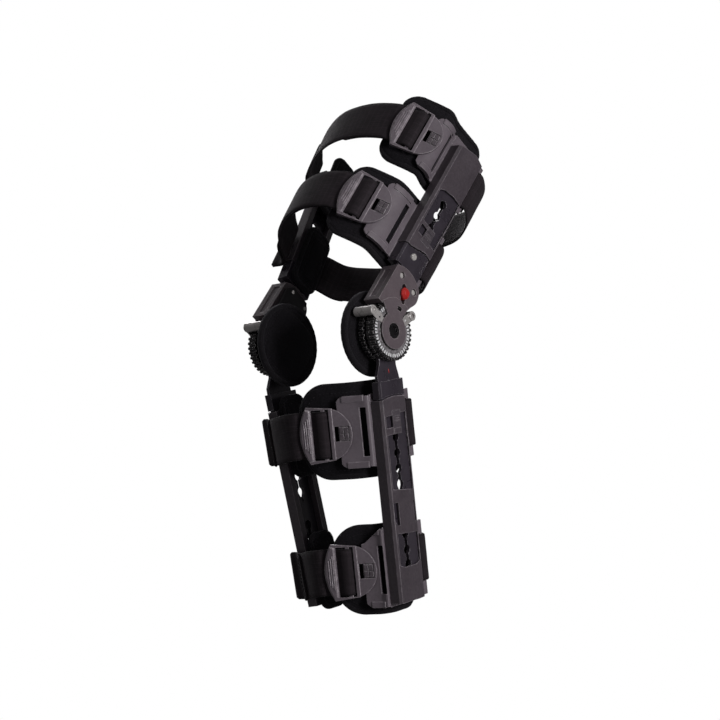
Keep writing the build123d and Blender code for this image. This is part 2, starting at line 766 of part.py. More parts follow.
def wing_controls(level):
    """Front wing's control points: off the base, the turn at the latch, the tip."""
    front_edge, _ = shell_edges(level.frame)
    latch, run = buckle_run(level)
    inner = Vector(run.Y, -run.X, 0)
    if inner.Y > 0:
        inner = inner * -1
    start = (front_edge + forward_sign(level.frame) * 2.6, cuff_middle - 0.8)
    turn = (latch[0] + inner.X * level.wing_sink, latch[1] + inner.Y * level.wing_sink)
    tip = (turn[0] + run.X * 17, turn[1] + run.Y * 17)
    return start, turn, tip


def on_wing(controls, k):
    """Point of the wing's quadratic curve at parameter k."""
    start, turn, tip = controls
    return tuple((1 - k) ** 2 * start[i] + 2 * k * (1 - k) * turn[i] + k * k * tip[i]
                 for i in (0, 1))


def cuff_plate(level):
    """Base behind the shell, front wing under the buckle, and rear wing."""
    frame = level.frame
    forward = forward_sign(frame)
    front_edge, rear_edge = shell_edges(frame)
    controls = wing_controls(level)
    start, end = level.wing
    rear_wing = [(rear_edge - forward * behind, cuff_middle + out) for behind, out in
                 (calf_rear_wing if frame is calf_bar else thigh_rear_wing)]
    with BuildPart() as cuff:
        with BuildSketch(across(frame, start)):
            with BuildLine():
                Polyline((front_edge, cuff_middle - cuff_half),
                         (front_edge, cuff_middle + cuff_half),
                         (rear_edge, cuff_middle + cuff_half),
                         (rear_edge, cuff_middle - cuff_half), close=True)
            make_face()
        extrude(amount=end - start)
        front_wing = [(front_edge - forward * 1.5, cuff_middle - 0.4), controls[0],
                      *[on_wing(controls, k) for k in (0.25, 0.5, 0.75)], controls[2]]
        ribbon(across(frame, start + 1), front_wing, cuff_half, end - start - 2)
        ribbon(across(frame, start + 2), rear_wing, cuff_half, end - start - 4)
        # raised rims along the front wing's two edges
        for along in (start, end - rim_width):
            ribbon(across(frame, along),
                   [on_wing(controls, k) for k in (0.12, 0.35, 0.6, 0.82)],
                   rim_half, rim_width)
        # long slot in the front wing beside the shell
        near, far = on_wing(controls, 0.2), on_wing(controls, 0.3)
        slope = Vector(far[0] - near[0], far[1] - near[1], 0).normalized()
        slot_middle = level.station if frame is calf_bar else level.wing_middle
        with BuildSketch(across(frame, slot_middle - 26)):
            with Locations(Location((near[0] - slope.X * 1.1, near[1] - slope.Y * 1.1),
                                    degrees(atan2(slope.Y, slope.X)))):
                Rectangle(7.0, 12)
        extrude(amount=52, mode=Mode.SUBTRACT)
        # slot in the rear wing
        rear_slot = ((rear_wing[1][0] + rear_wing[2][0]) / 2,
                     (rear_wing[1][1] + rear_wing[2][1]) / 2)
        with BuildSketch(across(frame, level.wing_middle - 26.3)):
            with Locations(rear_slot):
                Rectangle(4.0, 12)
        extrude(amount=52.6, mode=Mode.SUBTRACT)
        # trim the front wing's corners: rounded, or slanted where the level says so
        plane = buckle_plane(level)
        y_sign = 1 if plane.y_dir.dot(frame.x_dir) > 0 else -1
        corner_r = 11.0
        tip_x = 18.6
        for edge, outward in ((start - level.station, -1), (end - level.station, 1)):
            def y_at(inset):
                return y_sign * (edge - outward * inset)

            with BuildSketch(plane.offset(7)) as corner:
                with BuildLine():
                    if level.pointed_corner and outward < 0:
                        Polyline((24, y_at(17)), (14, y_at(15.5)), (9, y_at(11.5)),
                                 (-6, y_at(-0.6)), (24, y_at(-0.6)), close=True)
                    else:
                        ThreePointArc((tip_x, y_at(corner_r + 3)),
                                      (tip_x - corner_r * 0.29, y_at(corner_r * 0.29)),
                                      (tip_x - corner_r - 3, y_at(-0.3)))
                        Polyline((tip_x - corner_r - 3, y_at(-0.3)), (24, y_at(-0.3)),
                                 (24, y_at(corner_r + 3)), (tip_x, y_at(corner_r + 3)))
                make_face()
            extrude(corner.sketch, amount=-14, mode=Mode.SUBTRACT)
    return cuff


def inward(before, point, after, distance):
    """Move a point toward the leg, square to the line joining its neighbours."""
    dx, dy = after[0] - before[0], after[1] - before[1]
    reach = hypot(dx, dy)
    normal_x, normal_y = dy / reach, -dx / reach
    if normal_y > 0:
        normal_x, normal_y = -normal_x, -normal_y
    return (point[0] + normal_x * distance, point[1] + normal_y * distance)


def lateral_pad(level):
    """Foam pad lining the cuff."""
    frame = level.frame
    forward = forward_sign(frame)
    front_edge, rear_edge = shell_edges(frame)
    controls = wing_controls(level)
    _, turn, tip = controls
    depth = pad_gap + pad_thickness / 2
    base = cuff_middle - depth
    path = [
        (rear_edge - forward * 6, base),
        ((front_edge + rear_edge * 2) / 3, base),
        (front_edge - forward * (14 if frame is calf_bar else 1), base - 0.4),
        inward(on_wing(controls, 0.45), on_wing(controls, 0.6), on_wing(controls, 0.75),
               depth + 0.6),
        inward(turn, tip, section_point(level, level.buckle_end), depth + 1.2),
        section_point(level, level.pad_end),
    ]
    start, end = level.pad
    with BuildPart() as pad:
        ribbon(across(frame, start), path, pad_thickness / 2, end - start)
    return pad


def short_pad(level):
    """Short flat pad behind the shell only, used on the medial side."""
    frame = level.frame
    forward = forward_sign(frame)
    front_edge, rear_edge = shell_edges(frame)
    front, rear = front_edge - forward * 4, rear_edge + forward * 1
    outer, inner = cuff_middle + 1.3, cuff_middle - 6.2
    start, end = level.pad
    with BuildPart() as pad:
        with BuildSketch(across(frame, start + 6)):
            with BuildLine():
                Polyline((front, outer), (rear, outer), (rear, inner), (front, inner),
                         close=True)
            make_face()
        extrude(amount=end - start - 12)
        # round the edges that run along the upright
        fillet(pad.edges().filter_by(
            lambda edge: abs((edge % 0.5).dot(frame.x_dir)) > 0.9), 2.5)
    return pad


buckle_length = 58.5
buckle_half = 61.0 / 2       # half the buckle's width across the strap
buckle_base = 1.9            # underside, above the buckle's plane


def strap_buckle(plane):
    """Latch plate with a window, open frame, strap bar and ribbed end bar."""
    half = buckle_half
    shoulder = buckle_length - 9
    with BuildPart() as buckle:
        # bowed latch plate
        with BuildSketch(plane.offset(buckle_base)):
            with BuildLine():
                ThreePointArc((24.5, -half + 3), (2.0, 0), (24.5, half - 3))
                Line((24.5, half - 3), (24.5, -half + 3))
            make_face()
            with Locations((13.0, 0)):
                Rectangle(16.0, 16.0, mode=Mode.SUBTRACT)
        extrude(amount=2.6)
        # open frame, bowed at its outer end
        with BuildSketch(plane.offset(buckle_base)):
            with BuildLine():
                Line((22, -half + 3), (shoulder, -half))
                ThreePointArc((shoulder, -half), (buckle_length, 0), (shoulder, half))
                Line((shoulder, half), (22, half - 3))
                Line((22, half - 3), (22, -half + 3))
            make_face()
            with Locations((35.3, 0)):
                Rectangle(19.4, strap_width + 3.0, mode=Mode.SUBTRACT)
        extrude(amount=3.6)
        # strap bar across the frame
        with BuildSketch(plane.offset(2.6)):
            with Locations((32.0, 0)):
                Rectangle(4.2, strap_width + 6)
        extrude(amount=2.2)
        # raised grip on the end bar
        with BuildSketch(plane.offset(5.5)) as grip:
            with BuildLine():
                Polyline((46.2, -half + 3.5), (50.5, -half + 2.5))
                ThreePointArc((50.5, -half + 2.5), (57.2, 0), (50.5, half - 2.5))
                Polyline((50.5, half - 2.5), (46.2, half - 3.5), (46.2, -half + 3.5))
            make_face()
        extrude(grip.sketch, amount=1.3, taper=35)
        # ribs; the grip's face is still pending, so it is raised straight by 0.7 too
        with BuildSketch(plane.offset(6.7)):
            for i in (0, 1, 2):
                with Locations((48.8 + 2.2 * i, 0)):
                    Rectangle(0.9, 36 - 5 * i)
        extrude(amount=0.7)
    return buckle


def release_tab(plane):
    """Tab in the latch plate's window, with a round bar along its strap end."""
    with BuildPart() as tab:
        with BuildSketch(plane.offset(2.2)):
            with Locations((10.95, 0)):
                Rectangle(11.3, 14.4)
        extrude(amount=1.6)
        # four raised thumb pads with a cross groove between them
        with BuildSketch(plane.offset(3.7)):
            with Locations((8.0, 3.6), (8.0, -3.6), (13.1, 3.6), (13.1, -3.6)):
                Rectangle(4.2, 6.0)
        extrude(amount=1.5)
        bar_start = plane.from_local_coords(Vector(15.9, -7.9, 3.0))
        with BuildSketch(Plane(origin=tuple(bar_start), x_dir=tuple(plane.x_dir),
                               z_dir=tuple(plane.y_dir))):
            Circle(0.95)
        extrude(amount=15.8)
    return tab


def strap(flat, station, path):
    """Strap centred on a station, following (forward, X) points."""
    forward = forward_sign(flat)
    with BuildPart() as band:
        ribbon(across(flat, station - strap_width / 2),
               [(forward * ahead, x) for ahead, x in path],
               strap_thickness / 2, strap_width)
    return band


for level in levels:
    save(cuff_plate(level), level.name + "_cuff")
    save(lateral_pad(level), "lat_" + level.name + "_pad")
    save_mirrored(short_pad(level), "med_" + level.name + "_pad")
    save(strap_buckle(buckle_plane(level)), level.name + "_buckle")
    save(release_tab(buckle_plane(level)), level.name + "_tab")
    save(strap(level.flat, level.station, level.front_strap), level.name + "_front_strap")
    save(strap(level.flat, level.wing_middle + level.rear_shift, level.rear_strap),
         level.name + "_rear_strap")
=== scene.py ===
"""Hinged post-operative knee brace: straps, pads, printed marks, materials and stage.

The origin is on the knee axis; +X is lateral, -Y is anterior (forward) and +Z is up.
The calf hangs straight down and the thigh rises towards the rear.
Geometry is worked out in millimetres and turned into metres when a mesh is made;
materials, lights and camera are in metres.
"""
import json
import math
from collections import namedtuple
from dataclasses import dataclass

import bmesh
import bpy
import numpy as np
from mathutils import Matrix, Vector, noise
from mathutils.kdtree import KDTree


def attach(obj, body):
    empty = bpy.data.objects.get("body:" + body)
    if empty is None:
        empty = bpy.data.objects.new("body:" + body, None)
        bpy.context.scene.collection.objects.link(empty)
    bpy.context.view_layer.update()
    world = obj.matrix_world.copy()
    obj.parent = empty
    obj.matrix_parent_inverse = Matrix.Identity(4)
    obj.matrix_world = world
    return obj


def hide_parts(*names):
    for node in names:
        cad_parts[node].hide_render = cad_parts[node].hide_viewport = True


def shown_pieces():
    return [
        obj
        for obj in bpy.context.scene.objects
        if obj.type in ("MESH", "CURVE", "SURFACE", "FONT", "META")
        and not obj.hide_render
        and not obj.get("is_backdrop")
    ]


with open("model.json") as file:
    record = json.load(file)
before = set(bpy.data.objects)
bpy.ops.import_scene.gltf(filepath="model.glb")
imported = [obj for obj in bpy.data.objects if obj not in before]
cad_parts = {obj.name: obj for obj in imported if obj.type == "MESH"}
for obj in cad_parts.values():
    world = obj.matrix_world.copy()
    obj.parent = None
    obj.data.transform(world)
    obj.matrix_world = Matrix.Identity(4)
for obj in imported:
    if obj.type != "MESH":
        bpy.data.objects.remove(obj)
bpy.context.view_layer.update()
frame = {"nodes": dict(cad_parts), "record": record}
nodes = frame["nodes"]
scene = bpy.context.scene

# ------------------------------------------------------------------ leg frames
MM = 0.001
SIDES = {"lat": 1, "med": -1}         # sign of X on each side of the knee
BEND = 60.0                           # distance from the knee at which the uprights tilt
SHELL_DEPTH = 15.0
SHELL_BACK = -SHELL_DEPTH - 1.5       # section height of the shells' leg side
STRAP_WIDTH = 50.8

THIGH_LEAN = math.radians(46.0)       # thigh axis from the vertical
UP = Vector((0, math.sin(THIGH_LEAN), math.cos(THIGH_LEAN)))
FORWARD = Vector((0, -math.cos(THIGH_LEAN), math.sin(THIGH_LEAN)))
OUT = Vector((1, 0, 0))


class Section:
    """Frame of an upright: along it away from the knee, across it, and out from the leg."""

    def __init__(self, leg, mirror):
        cosine, sine = math.cos(leg.tilt), math.sin(leg.tilt)
        along = leg.axis * cosine + OUT * sine
        out = OUT * cosine - leg.axis * sine
        origin = OUT * leg.face_x + leg.axis * BEND - along * BEND
        self.along, self.across, self.out, self.origin = (
            Vector((mirror * v.x, v.y, v.z)) for v in (along, out.cross(along), out, origin))

    def at(self, u, t, n):
        return self.origin + self.along * u + self.across * t + self.out * n


@dataclass
class Leg:
    """Calf or thigh, with the section frames of its two uprights."""
    name: str
    axis: Vector            # away from the knee, along the leg
    front: Vector           # forward, square to the axis
    forward: int            # sign of forward in the section's across direction
    face_x: float           # X of the upright's outer face at the bend
    tilt: float             # outward tilt of the upright beyond the bend
    front_edge: float       # edges of the shell, across the section
    rear_edge: float
    slot_gap: float         # rear strap slot: distance behind the shell's rear edge
    slot_lift: float        # and its height over SHELL_BACK
    front_centre: float     # forward distance of a point inside the front strap's arc
    rear_centre: float      # and inside the rear strap's arc
    return_length: float    # turned-back layer of the front strap
    tab_length: float       # tab of the front strap
    pad_end_radius: float   # corners at the front end of the lateral pads

    def __post_init__(self):
        self.lateral = Section(self, 1)
        self.medial = Section(self, -1)

    def point(self, forward, x, u):
        """Point at distance u from the knee along the untilted leg."""
        return OUT * x + self.axis * u + self.front * forward

    def section_point(self, forward, x, u):
        """(across, out) of such a point in the lateral section."""
        face = self.face_x + math.tan(self.tilt) * (u - BEND)
        return self.forward * forward, (x - face) * math.cos(self.tilt)


CALF = Leg(
    name="calf", axis=Vector((0, 0, -1)), front=Vector((0, -1, 0)), forward=-1,
    face_x=83.5, tilt=math.radians(-4.0), front_edge=-26.5, rear_edge=16.5,
    slot_gap=16.5, slot_lift=-0.7, front_centre=20.0, rear_centre=0.0,
    return_length=68.0, tab_length=44.0, pad_end_radius=32)
THIGH = Leg(
    name="thigh", axis=UP, front=FORWARD, forward=1,
    face_x=87.0, tilt=math.radians(6.5), front_edge=33.5, rear_edge=-9.5,
    slot_gap=9.5, slot_lift=0.4, front_centre=40.0, rear_centre=10.0,
    return_length=84.0, tab_length=52.0, pad_end_radius=19)

# Strap levels.  front_u, rear_u: distance of each strap from the knee; wing, pad: ranges of
# that distance.  All other pairs are (forward, X): the buckle's origin, its end bar, the
# front end of the lateral pad, and the strap outlines from the lateral to the medial side.
LEVELS = {
    "calf_upper": dict(
        leg=CALF, front_u=102, rear_u=109.5, wing=(63, 140), pad=(50, 152),
        buckle=(36, 48), end_bar=(62.3, -1.4), pad_end=(48.5, -15), pad_sink=0.3,
        front=[(67.2, -6.5), (67.5, -22), (59, -46), (42, -63), (31.5, -73), (29.3, -84.5)],
        rear=[(-50, 54), (-54, 34), (-55, 0), (-54, -34), (-47, -54), (-30, -67),
              (-19.6, -76)]),
    "calf_lower": dict(
        leg=CALF, front_u=250, rear_u=248.5, wing=(206, 291), pad=(203, 299),
        buckle=(28.6, 46), end_bar=(54.9, -3.4), pad_end=(45.5, -3), pad_sink=1.4,
        front=[(59.5, -8.5), (59.0, -22), (49, -43), (36, -55.5), (30.2, -63), (29.3, -74.5)],
        rear=[(-50, 42), (-55, 22), (-57, 0), (-54, -24), (-43, -44), (-28, -56),
              (-19.6, -66)]),
    "thigh_lower": dict(
        leg=THIGH, front_u=113.5, rear_u=123.5, wing=(77, 150), pad=(68, 161),
        buckle=(61, 79.5), end_bar=(98, 41.5), pad_end=(94.5, 29), pad_sink=0.3,
        front=[(104, 35.5), (109.5, 10), (106, -20), (88, -50), (60, -70), (41, -80),
               (36.6, -88), (36.2, -99)],
        rear=[(-38, 68), (-46, 44), (-49, 0), (-46, -44), (-37, -70), (-22, -81),
              (-12.6, -88)]),
    "thigh_upper": dict(
        leg=THIGH, front_u=219.5, rear_u=217.5, wing=(183, 252), pad=(178, 271),
        buckle=(51.5, 98.5), end_bar=(90.5, 62.5), pad_end=(87.5, 48), pad_sink=0.3,
        front=[(96.5, 56), (104, 22), (102.5, -16), (90, -46), (68, -74), (47, -90),
               (37.5, -97.5), (36.2, -110)],
        rear=[(-46, 80), (-68, 50), (-76, 0), (-68, -50), (-46, -80), (-24, -93),
              (-12.6, -101)]),
}


# ------------------------------------------------------------------ material builder
def srgb(color):
    """8-bit sRGB to linear RGBA."""
    parts = (c / 255.0 for c in color)
    linear = (c / 12.92 if c <= 0.04045 else ((c + 0.055) / 1.055) ** 2.4 for c in parts)
    return tuple(linear) + (1.0,)


def shade(color, factor):
    return tuple(min(1, c * factor) for c in color[:3]) + (1,)


class Material:
    """Node tree round one Principled shader.  Values may be sockets or constants."""

    def __init__(self, name):
        self.material = bpy.data.materials.new(name)
        self.material.use_nodes = True
        self.tree = self.material.node_tree
        self.tree.nodes.clear()
        output = self.node("ShaderNodeOutputMaterial")
        self.shader = self.node("ShaderNodeBsdfPrincipled")
        self.put(output.inputs["Surface"], self.shader.outputs["BSDF"])
        self.position = self.node("ShaderNodeTexCoord").outputs["Object"]
        self.normal = None

    def node(self, kind, **settings):
        node = self.tree.nodes.new(kind)
        for key, value in settings.items():
            setattr(node, key, value)
        return node

    def put(self, socket, value):
        if isinstance(value, bpy.types.NodeSocket):
            self.tree.links.new(value, socket)
        else:
            socket.default_value = value

    def feed(self, **inputs):
        """Sets inputs of the shader; an underscore stands for a space."""
        for key, value in inputs.items():
            self.put(self.shader.inputs[key.replace("_", " ")], value)

    def noise(self, scale, detail=4.0, rough=0.55, vector=None):
        node = self.node("ShaderNodeTexNoise")
        node.inputs["Scale"].default_value = scale
        node.inputs["Detail"].default_value = detail
        node.inputs["Roughness"].default_value = rough
        self.put(node.inputs["Vector"], vector or self.position)
        return node.outputs["Fac"]

    def mapped(self, scale=(1.0, 1.0, 1.0), rotation=(0.0, 0.0, 0.0)):
        """Scaled and turned object position."""
        node = self.node("ShaderNodeMapping")
        self.put(node.inputs["Vector"], self.position)
        node.inputs["Scale"].default_value = scale
        node.inputs["Rotation"].default_value = rotation
        return node.outputs["Vector"]

    def split(self, vector):
        node = self.node("ShaderNodeSeparateXYZ")
        self.put(node.inputs[0], vector)
        return node.outputs

    def ramp(self, factor, low, high):
        """Colour ramp between two (position, colour) stops."""
        node = self.node("ShaderNodeValToRGB")
        for element, (place, color) in zip(node.color_ramp.elements, (low, high)):
            element.position = place
            element.color = color
        self.put(node.inputs["Fac"], factor)
        return node.outputs["Color"]

    def math(self, operation, *values):
        node = self.node("ShaderNodeMath", operation=operation)
        for socket, value in zip(node.inputs, values):
            self.put(socket, value)
        return node.outputs[0]

    def times(self, a, b):
        return self.math("MULTIPLY", a, b)

    def wave(self, coordinate, pitch):
        return self.math("SINE", self.times(coordinate, 2 * math.pi / pitch))

    def remap(self, value, of, to=(0.0, 1.0)):
        """Maps the range `of` onto the range `to`."""
        node = self.node("ShaderNodeMapRange")
        for socket, item in zip(node.inputs, (value, *of, *to)):
            self.put(socket, item)
        return node.outputs[0]

    def blend(self, factor, a, b):
        """Colour a where the factor is 0, b where it is 1."""
        node = self.node("ShaderNodeMix", data_type="RGBA")
        for index, value in ((0, factor), (6, a), (7, b)):
            self.put(node.inputs[index], value)
        return node.outputs[2]

    def bump(self, height, strength, distance):
        node = self.node("ShaderNodeBump")
        node.inputs["Strength"].default_value = strength
        node.inputs["Distance"].default_value = distance
        self.put(node.inputs["Height"], height)
        if self.normal is not None:
            self.put(node.inputs["Normal"], self.normal)
        self.normal = node.outputs["Normal"]

    def bevel(self, radius):
        """Rounds the edges and returns a mask that is 1 on them."""
        bevel = self.node("ShaderNodeBevel")
        bevel.samples = 6
        bevel.inputs["Radius"].default_value = radius
        self.normal = bevel.outputs["Normal"]
        flat = self.node("ShaderNodeNewGeometry").outputs["Normal"]
        dot = self.node("ShaderNodeVectorMath", operation="DOT_PRODUCT")
        self.put(dot.inputs[0], self.normal)
        self.put(dot.inputs[1], flat)
        return self.remap(dot.outputs["Value"], of=(0.995, 0.86))

    def finish(self):
        self.feed(Normal=self.normal)
        return self.material


# ------------------------------------------------------------------ material kinds
def plastic(name, base, edge, rough, radius=0.0007, grain=2600.0, grain_height=0.00003,
            wear_and_highlight=0.6, specular=0.45):
    """Moulded plastic: fine grain, cloudy gloss, paler edges (a painted highlight in wear-like
    patches), faint scuffs.
    """
    base, edge = srgb(base), srgb(edge)
    speckle_most = 0.045
    scuff_tint = 0.08
    scuff_gloss = -0.08     # change of roughness in a scuff
    m = Material(name)
    on_edge = m.bevel(radius)
    cloud = m.noise(scale=38.0, detail=5.0)
    fine = m.noise(scale=420.0, detail=3.0)
    color = m.ramp(cloud, low=(0.32, shade(base, 0.9)), high=(0.68, shade(base, 1.1)))
    speckle = m.remap(fine, of=(0.35, 0.65), to=(0.0, speckle_most))
    color = m.blend(speckle, color, edge)
    # paler edges: painted highlight along every edge, broken into patches like wear
    patches = m.remap(m.noise(scale=160.0), of=(0.38, 0.62), to=(0.25, 1.0))
    edge_wear_and_highlight = m.times(on_edge, patches)
    color = m.blend(m.times(edge_wear_and_highlight, wear_and_highlight), color, edge)
    streaks = m.mapped(scale=(900.0, 900.0, 45.0), rotation=(0.5, 0.2, 0.1))
    scuff = m.noise(scale=1.0, detail=2.0, rough=0.5, vector=streaks)
    scuff = m.remap(scuff, of=(0.66, 0.74))
    color = m.blend(m.times(scuff, scuff_tint), color, edge)
    cloudy = m.remap(cloud, of=(0.3, 0.7), to=(rough - 0.05, rough + 0.07))
    m.feed(Base_Color=color, Roughness=m.math("ADD", cloudy, m.times(scuff, scuff_gloss)),
           Specular_IOR_Level=specular)
    m.bump(m.noise(scale=grain, detail=2.0, rough=0.6), strength=0.5, distance=grain_height)
    return m.finish()


def metal(name, base, edge, rough, metallic, radius=0.0004, wear_and_highlight=0.8, brushed=None):
    """Metal with bright edges, a painted highlight in chip-like patches; `brushed` stretches
    its grain, else it is orange peel.
    """
    base, edge = srgb(base), srgb(edge)
    m = Material(name)
    on_edge = m.bevel(radius)
    cloud = m.noise(scale=55.0)
    color = m.ramp(cloud, low=(0.3, shade(base, 0.85)), high=(0.7, shade(base, 1.15)))
    # bright edges: painted highlight (glints) along every edge, in patches like chipped wear
    patches = m.remap(m.noise(scale=340.0, detail=5.0), of=(0.44, 0.6), to=(0.1, 1.0))
    chips_and_highlight = m.times(on_edge, patches)
    color = m.blend(m.times(chips_and_highlight, wear_and_highlight), color, edge)
    cloudy = m.remap(cloud, of=(0.3, 0.7), to=(rough - 0.06, rough + 0.08))
    m.feed(Base_Color=color, Metallic=metallic, Specular_IOR_Level=0.5, Roughness=cloudy)
    if brushed:
        grain = m.noise(scale=1.0, detail=2.0, rough=0.5, vector=m.mapped(scale=brushed))
        m.bump(grain, strength=0.35, distance=0.00003)
    else:
        m.bump(m.noise(scale=1500.0, detail=2.0), strength=0.35, distance=0.00002)
    return m.finish()


def webbing(name, base, light, sheen, rib=0.0016):
    """Loop-faced webbing: crosswise ribs over lengthwise yarns, nap, selvedge, dusty wear."""
    base, light = srgb(base), srgb(light)
    weave_share, warp_share, nap_share = 0.55, 0.15, 0.5    # parts of the height
    streak_tint, band_tint, selvedge_tint = 0.4, 0.16, 0.5
    m = Material(name)
    uv = m.node("ShaderNodeUVMap", uv_map="weave")
    axes = m.split(uv.outputs["UV"])
    along, across = axes[0], axes[1]
    crossing = m.times(m.wave(along, rib), m.wave(across, rib * 1.25))
    weave = m.math("MULTIPLY_ADD", crossing, 0.5, 0.5)
    warp = m.math("MULTIPLY_ADD", m.wave(across, rib * 0.625), 0.5, 0.5)
    nap = m.noise(scale=1900.0, detail=5.0, rough=0.7)
    cloud = m.noise(scale=60.0)
    yarns_and_nap = m.math("ADD", m.times(warp, warp_share), m.times(nap, nap_share))
    height = m.math("ADD", m.times(weave, weave_share), yarns_and_nap)
    # rubbed streaks that run along the strap
    stretched = m.node("ShaderNodeCombineXYZ")
    m.put(stretched.inputs[0], m.times(along, 60.0))
    m.put(stretched.inputs[1], m.times(across, 900.0))
    streak = m.noise(scale=1.0, detail=3.0, rough=0.5, vector=stretched.outputs[0])
    streak = m.remap(streak, of=(0.5, 0.72))
    color = m.blend(m.remap(height, of=(0.3, 1.1), to=(0.0, 0.75)), base, light)
    color = m.blend(m.remap(cloud, of=(0.35, 0.7), to=(0.0, 0.35)), color, shade(base, 0.6))
    color = m.blend(m.times(streak, streak_tint), color, light)
    band = m.remap(m.wave(along, 0.0064), of=(0.55, 1.0))
    color = m.blend(m.times(band, band_tint), color, light)
    # darker border
    edge = STRAP_WIDTH * MM / 2
    selvedge = m.remap(m.math("ABSOLUTE", across), of=(edge - 0.0028, edge - 0.0016))
    color = m.blend(m.times(selvedge, selvedge_tint), color, shade(base, 0.55))
    m.feed(Base_Color=color, Roughness=m.remap(nap, of=(0.3, 0.7), to=(0.78, 0.95)),
           Sheen_Weight=sheen, Sheen_Roughness=0.45, Sheen_Tint=(0.62, 0.58, 0.62, 1),
           Specular_IOR_Level=0.22)
    m.bump(height, strength=0.75, distance=0.00028)
    return m.finish()


def fabric(name, base, light, sheen, knit=0.0013):
    """Brushed loop fabric: knit grain of the given pitch, nap and cloudy tone."""
    base, light = srgb(base), srgb(light)
    loop_share, nap_share = 0.6, 0.5    # parts of the height
    m = Material(name)
    turned = m.mapped(rotation=(0.4, 0.9, 0.3))
    cells = m.node("ShaderNodeTexVoronoi")
    cells.inputs["Scale"].default_value = 1.0 / knit
    m.put(cells.inputs["Vector"], turned)
    loops = m.remap(cells.outputs["Distance"], of=(0.0, 0.75), to=(1.0, 0.0))
    nap = m.noise(scale=2200.0, rough=0.7)
    cloud = m.noise(scale=34.0, detail=5.0)
    height = m.math("ADD", m.times(loops, loop_share), m.times(nap, nap_share))
    color = m.blend(m.remap(height, of=(0.35, 1.05), to=(0.0, 0.7)), base, light)
    color = m.blend(m.remap(cloud, of=(0.35, 0.68), to=(0.0, 0.4)), color, shade(base, 0.55))
    m.feed(Base_Color=color, Roughness=m.remap(nap, of=(0.3, 0.7), to=(0.82, 0.97)),
           Sheen_Weight=sheen, Sheen_Roughness=0.5, Sheen_Tint=(0.6, 0.58, 0.66, 1),
           Specular_IOR_Level=0.18)
    m.bump(height, strength=0.7, distance=0.00026)
    return m.finish()


def dial_scale(name):
    """Silver-white scale: long ticks every 15 degrees, short every 7.5, brushed band inside;
    painted shade at the outer rim and under the housing's view slot.
    """
    m = Material(name)
    axes = m.split(m.position)
    y, z = axes[1], axes[2]
    angle = m.times(m.math("ARCTAN2", y, z), 180 / math.pi)
    radius = m.math("SQRT", m.math("ADD", m.times(y, y), m.times(z, z)))

    def beyond(mm):
        return m.math("GREATER_THAN", radius, mm * MM)

    def within(mm):
        return m.math("LESS_THAN", radius, mm * MM)

    def ticks(step, half_width, start, end):
        """Radial ticks: step and half width in degrees, start and end radius in mm."""
        phase = m.math("PINGPONG", angle, step / 2)
        near = m.math("LESS_THAN", phase, half_width)
        return m.times(near, m.times(beyond(start), within(end)))

    marks = m.math("MAXIMUM", ticks(step=15.0, half_width=1.5, start=23.9, end=27.9),
                   ticks(step=7.5, half_width=1.15, start=24.6, end=27.9))
    # dark inside 20.5 mm, and dark beyond 27.9 mm as painted shade of the gap round the scale
    inner_rim_and_painted_gap_shade = m.math("MAXIMUM", beyond(27.9), within(20.5))
    # painted shade: dark patch, 22 degrees to each side of 46, under the housing's view slot
    from_slot = m.math("ABSOLUTE", m.math("SUBTRACT", angle, 46.0))
    painted_shade_patch = m.times(m.math("LESS_THAN", from_slot, 22.0), within(29.0))
    # the dark marks also take in the painted shade of the outer rim and the view slot
    marks = m.math("MAXIMUM", m.math("MAXIMUM", marks, inner_rim_and_painted_gap_shade), painted_shade_patch)
    cloud = m.noise(scale=240.0)
    bright = m.ramp(cloud, low=(0.3, srgb((214, 214, 217))), high=(0.7, srgb((246, 246, 248))))
    brushed = m.ramp(cloud, low=(0.3, srgb((112, 109, 112))), high=(0.7, srgb((150, 147, 150))))
    ground = m.blend(beyond(24.3), brushed, bright)
    m.feed(Base_Color=m.blend(marks, ground, srgb((22, 21, 23))), Metallic=0.25,
           Roughness=m.remap(cloud, of=(0.3, 0.7), to=(0.22, 0.36)))
    m.bump(m.math("SUBTRACT", 1.0, marks), strength=0.3, distance=0.00005)
    return m.finish()
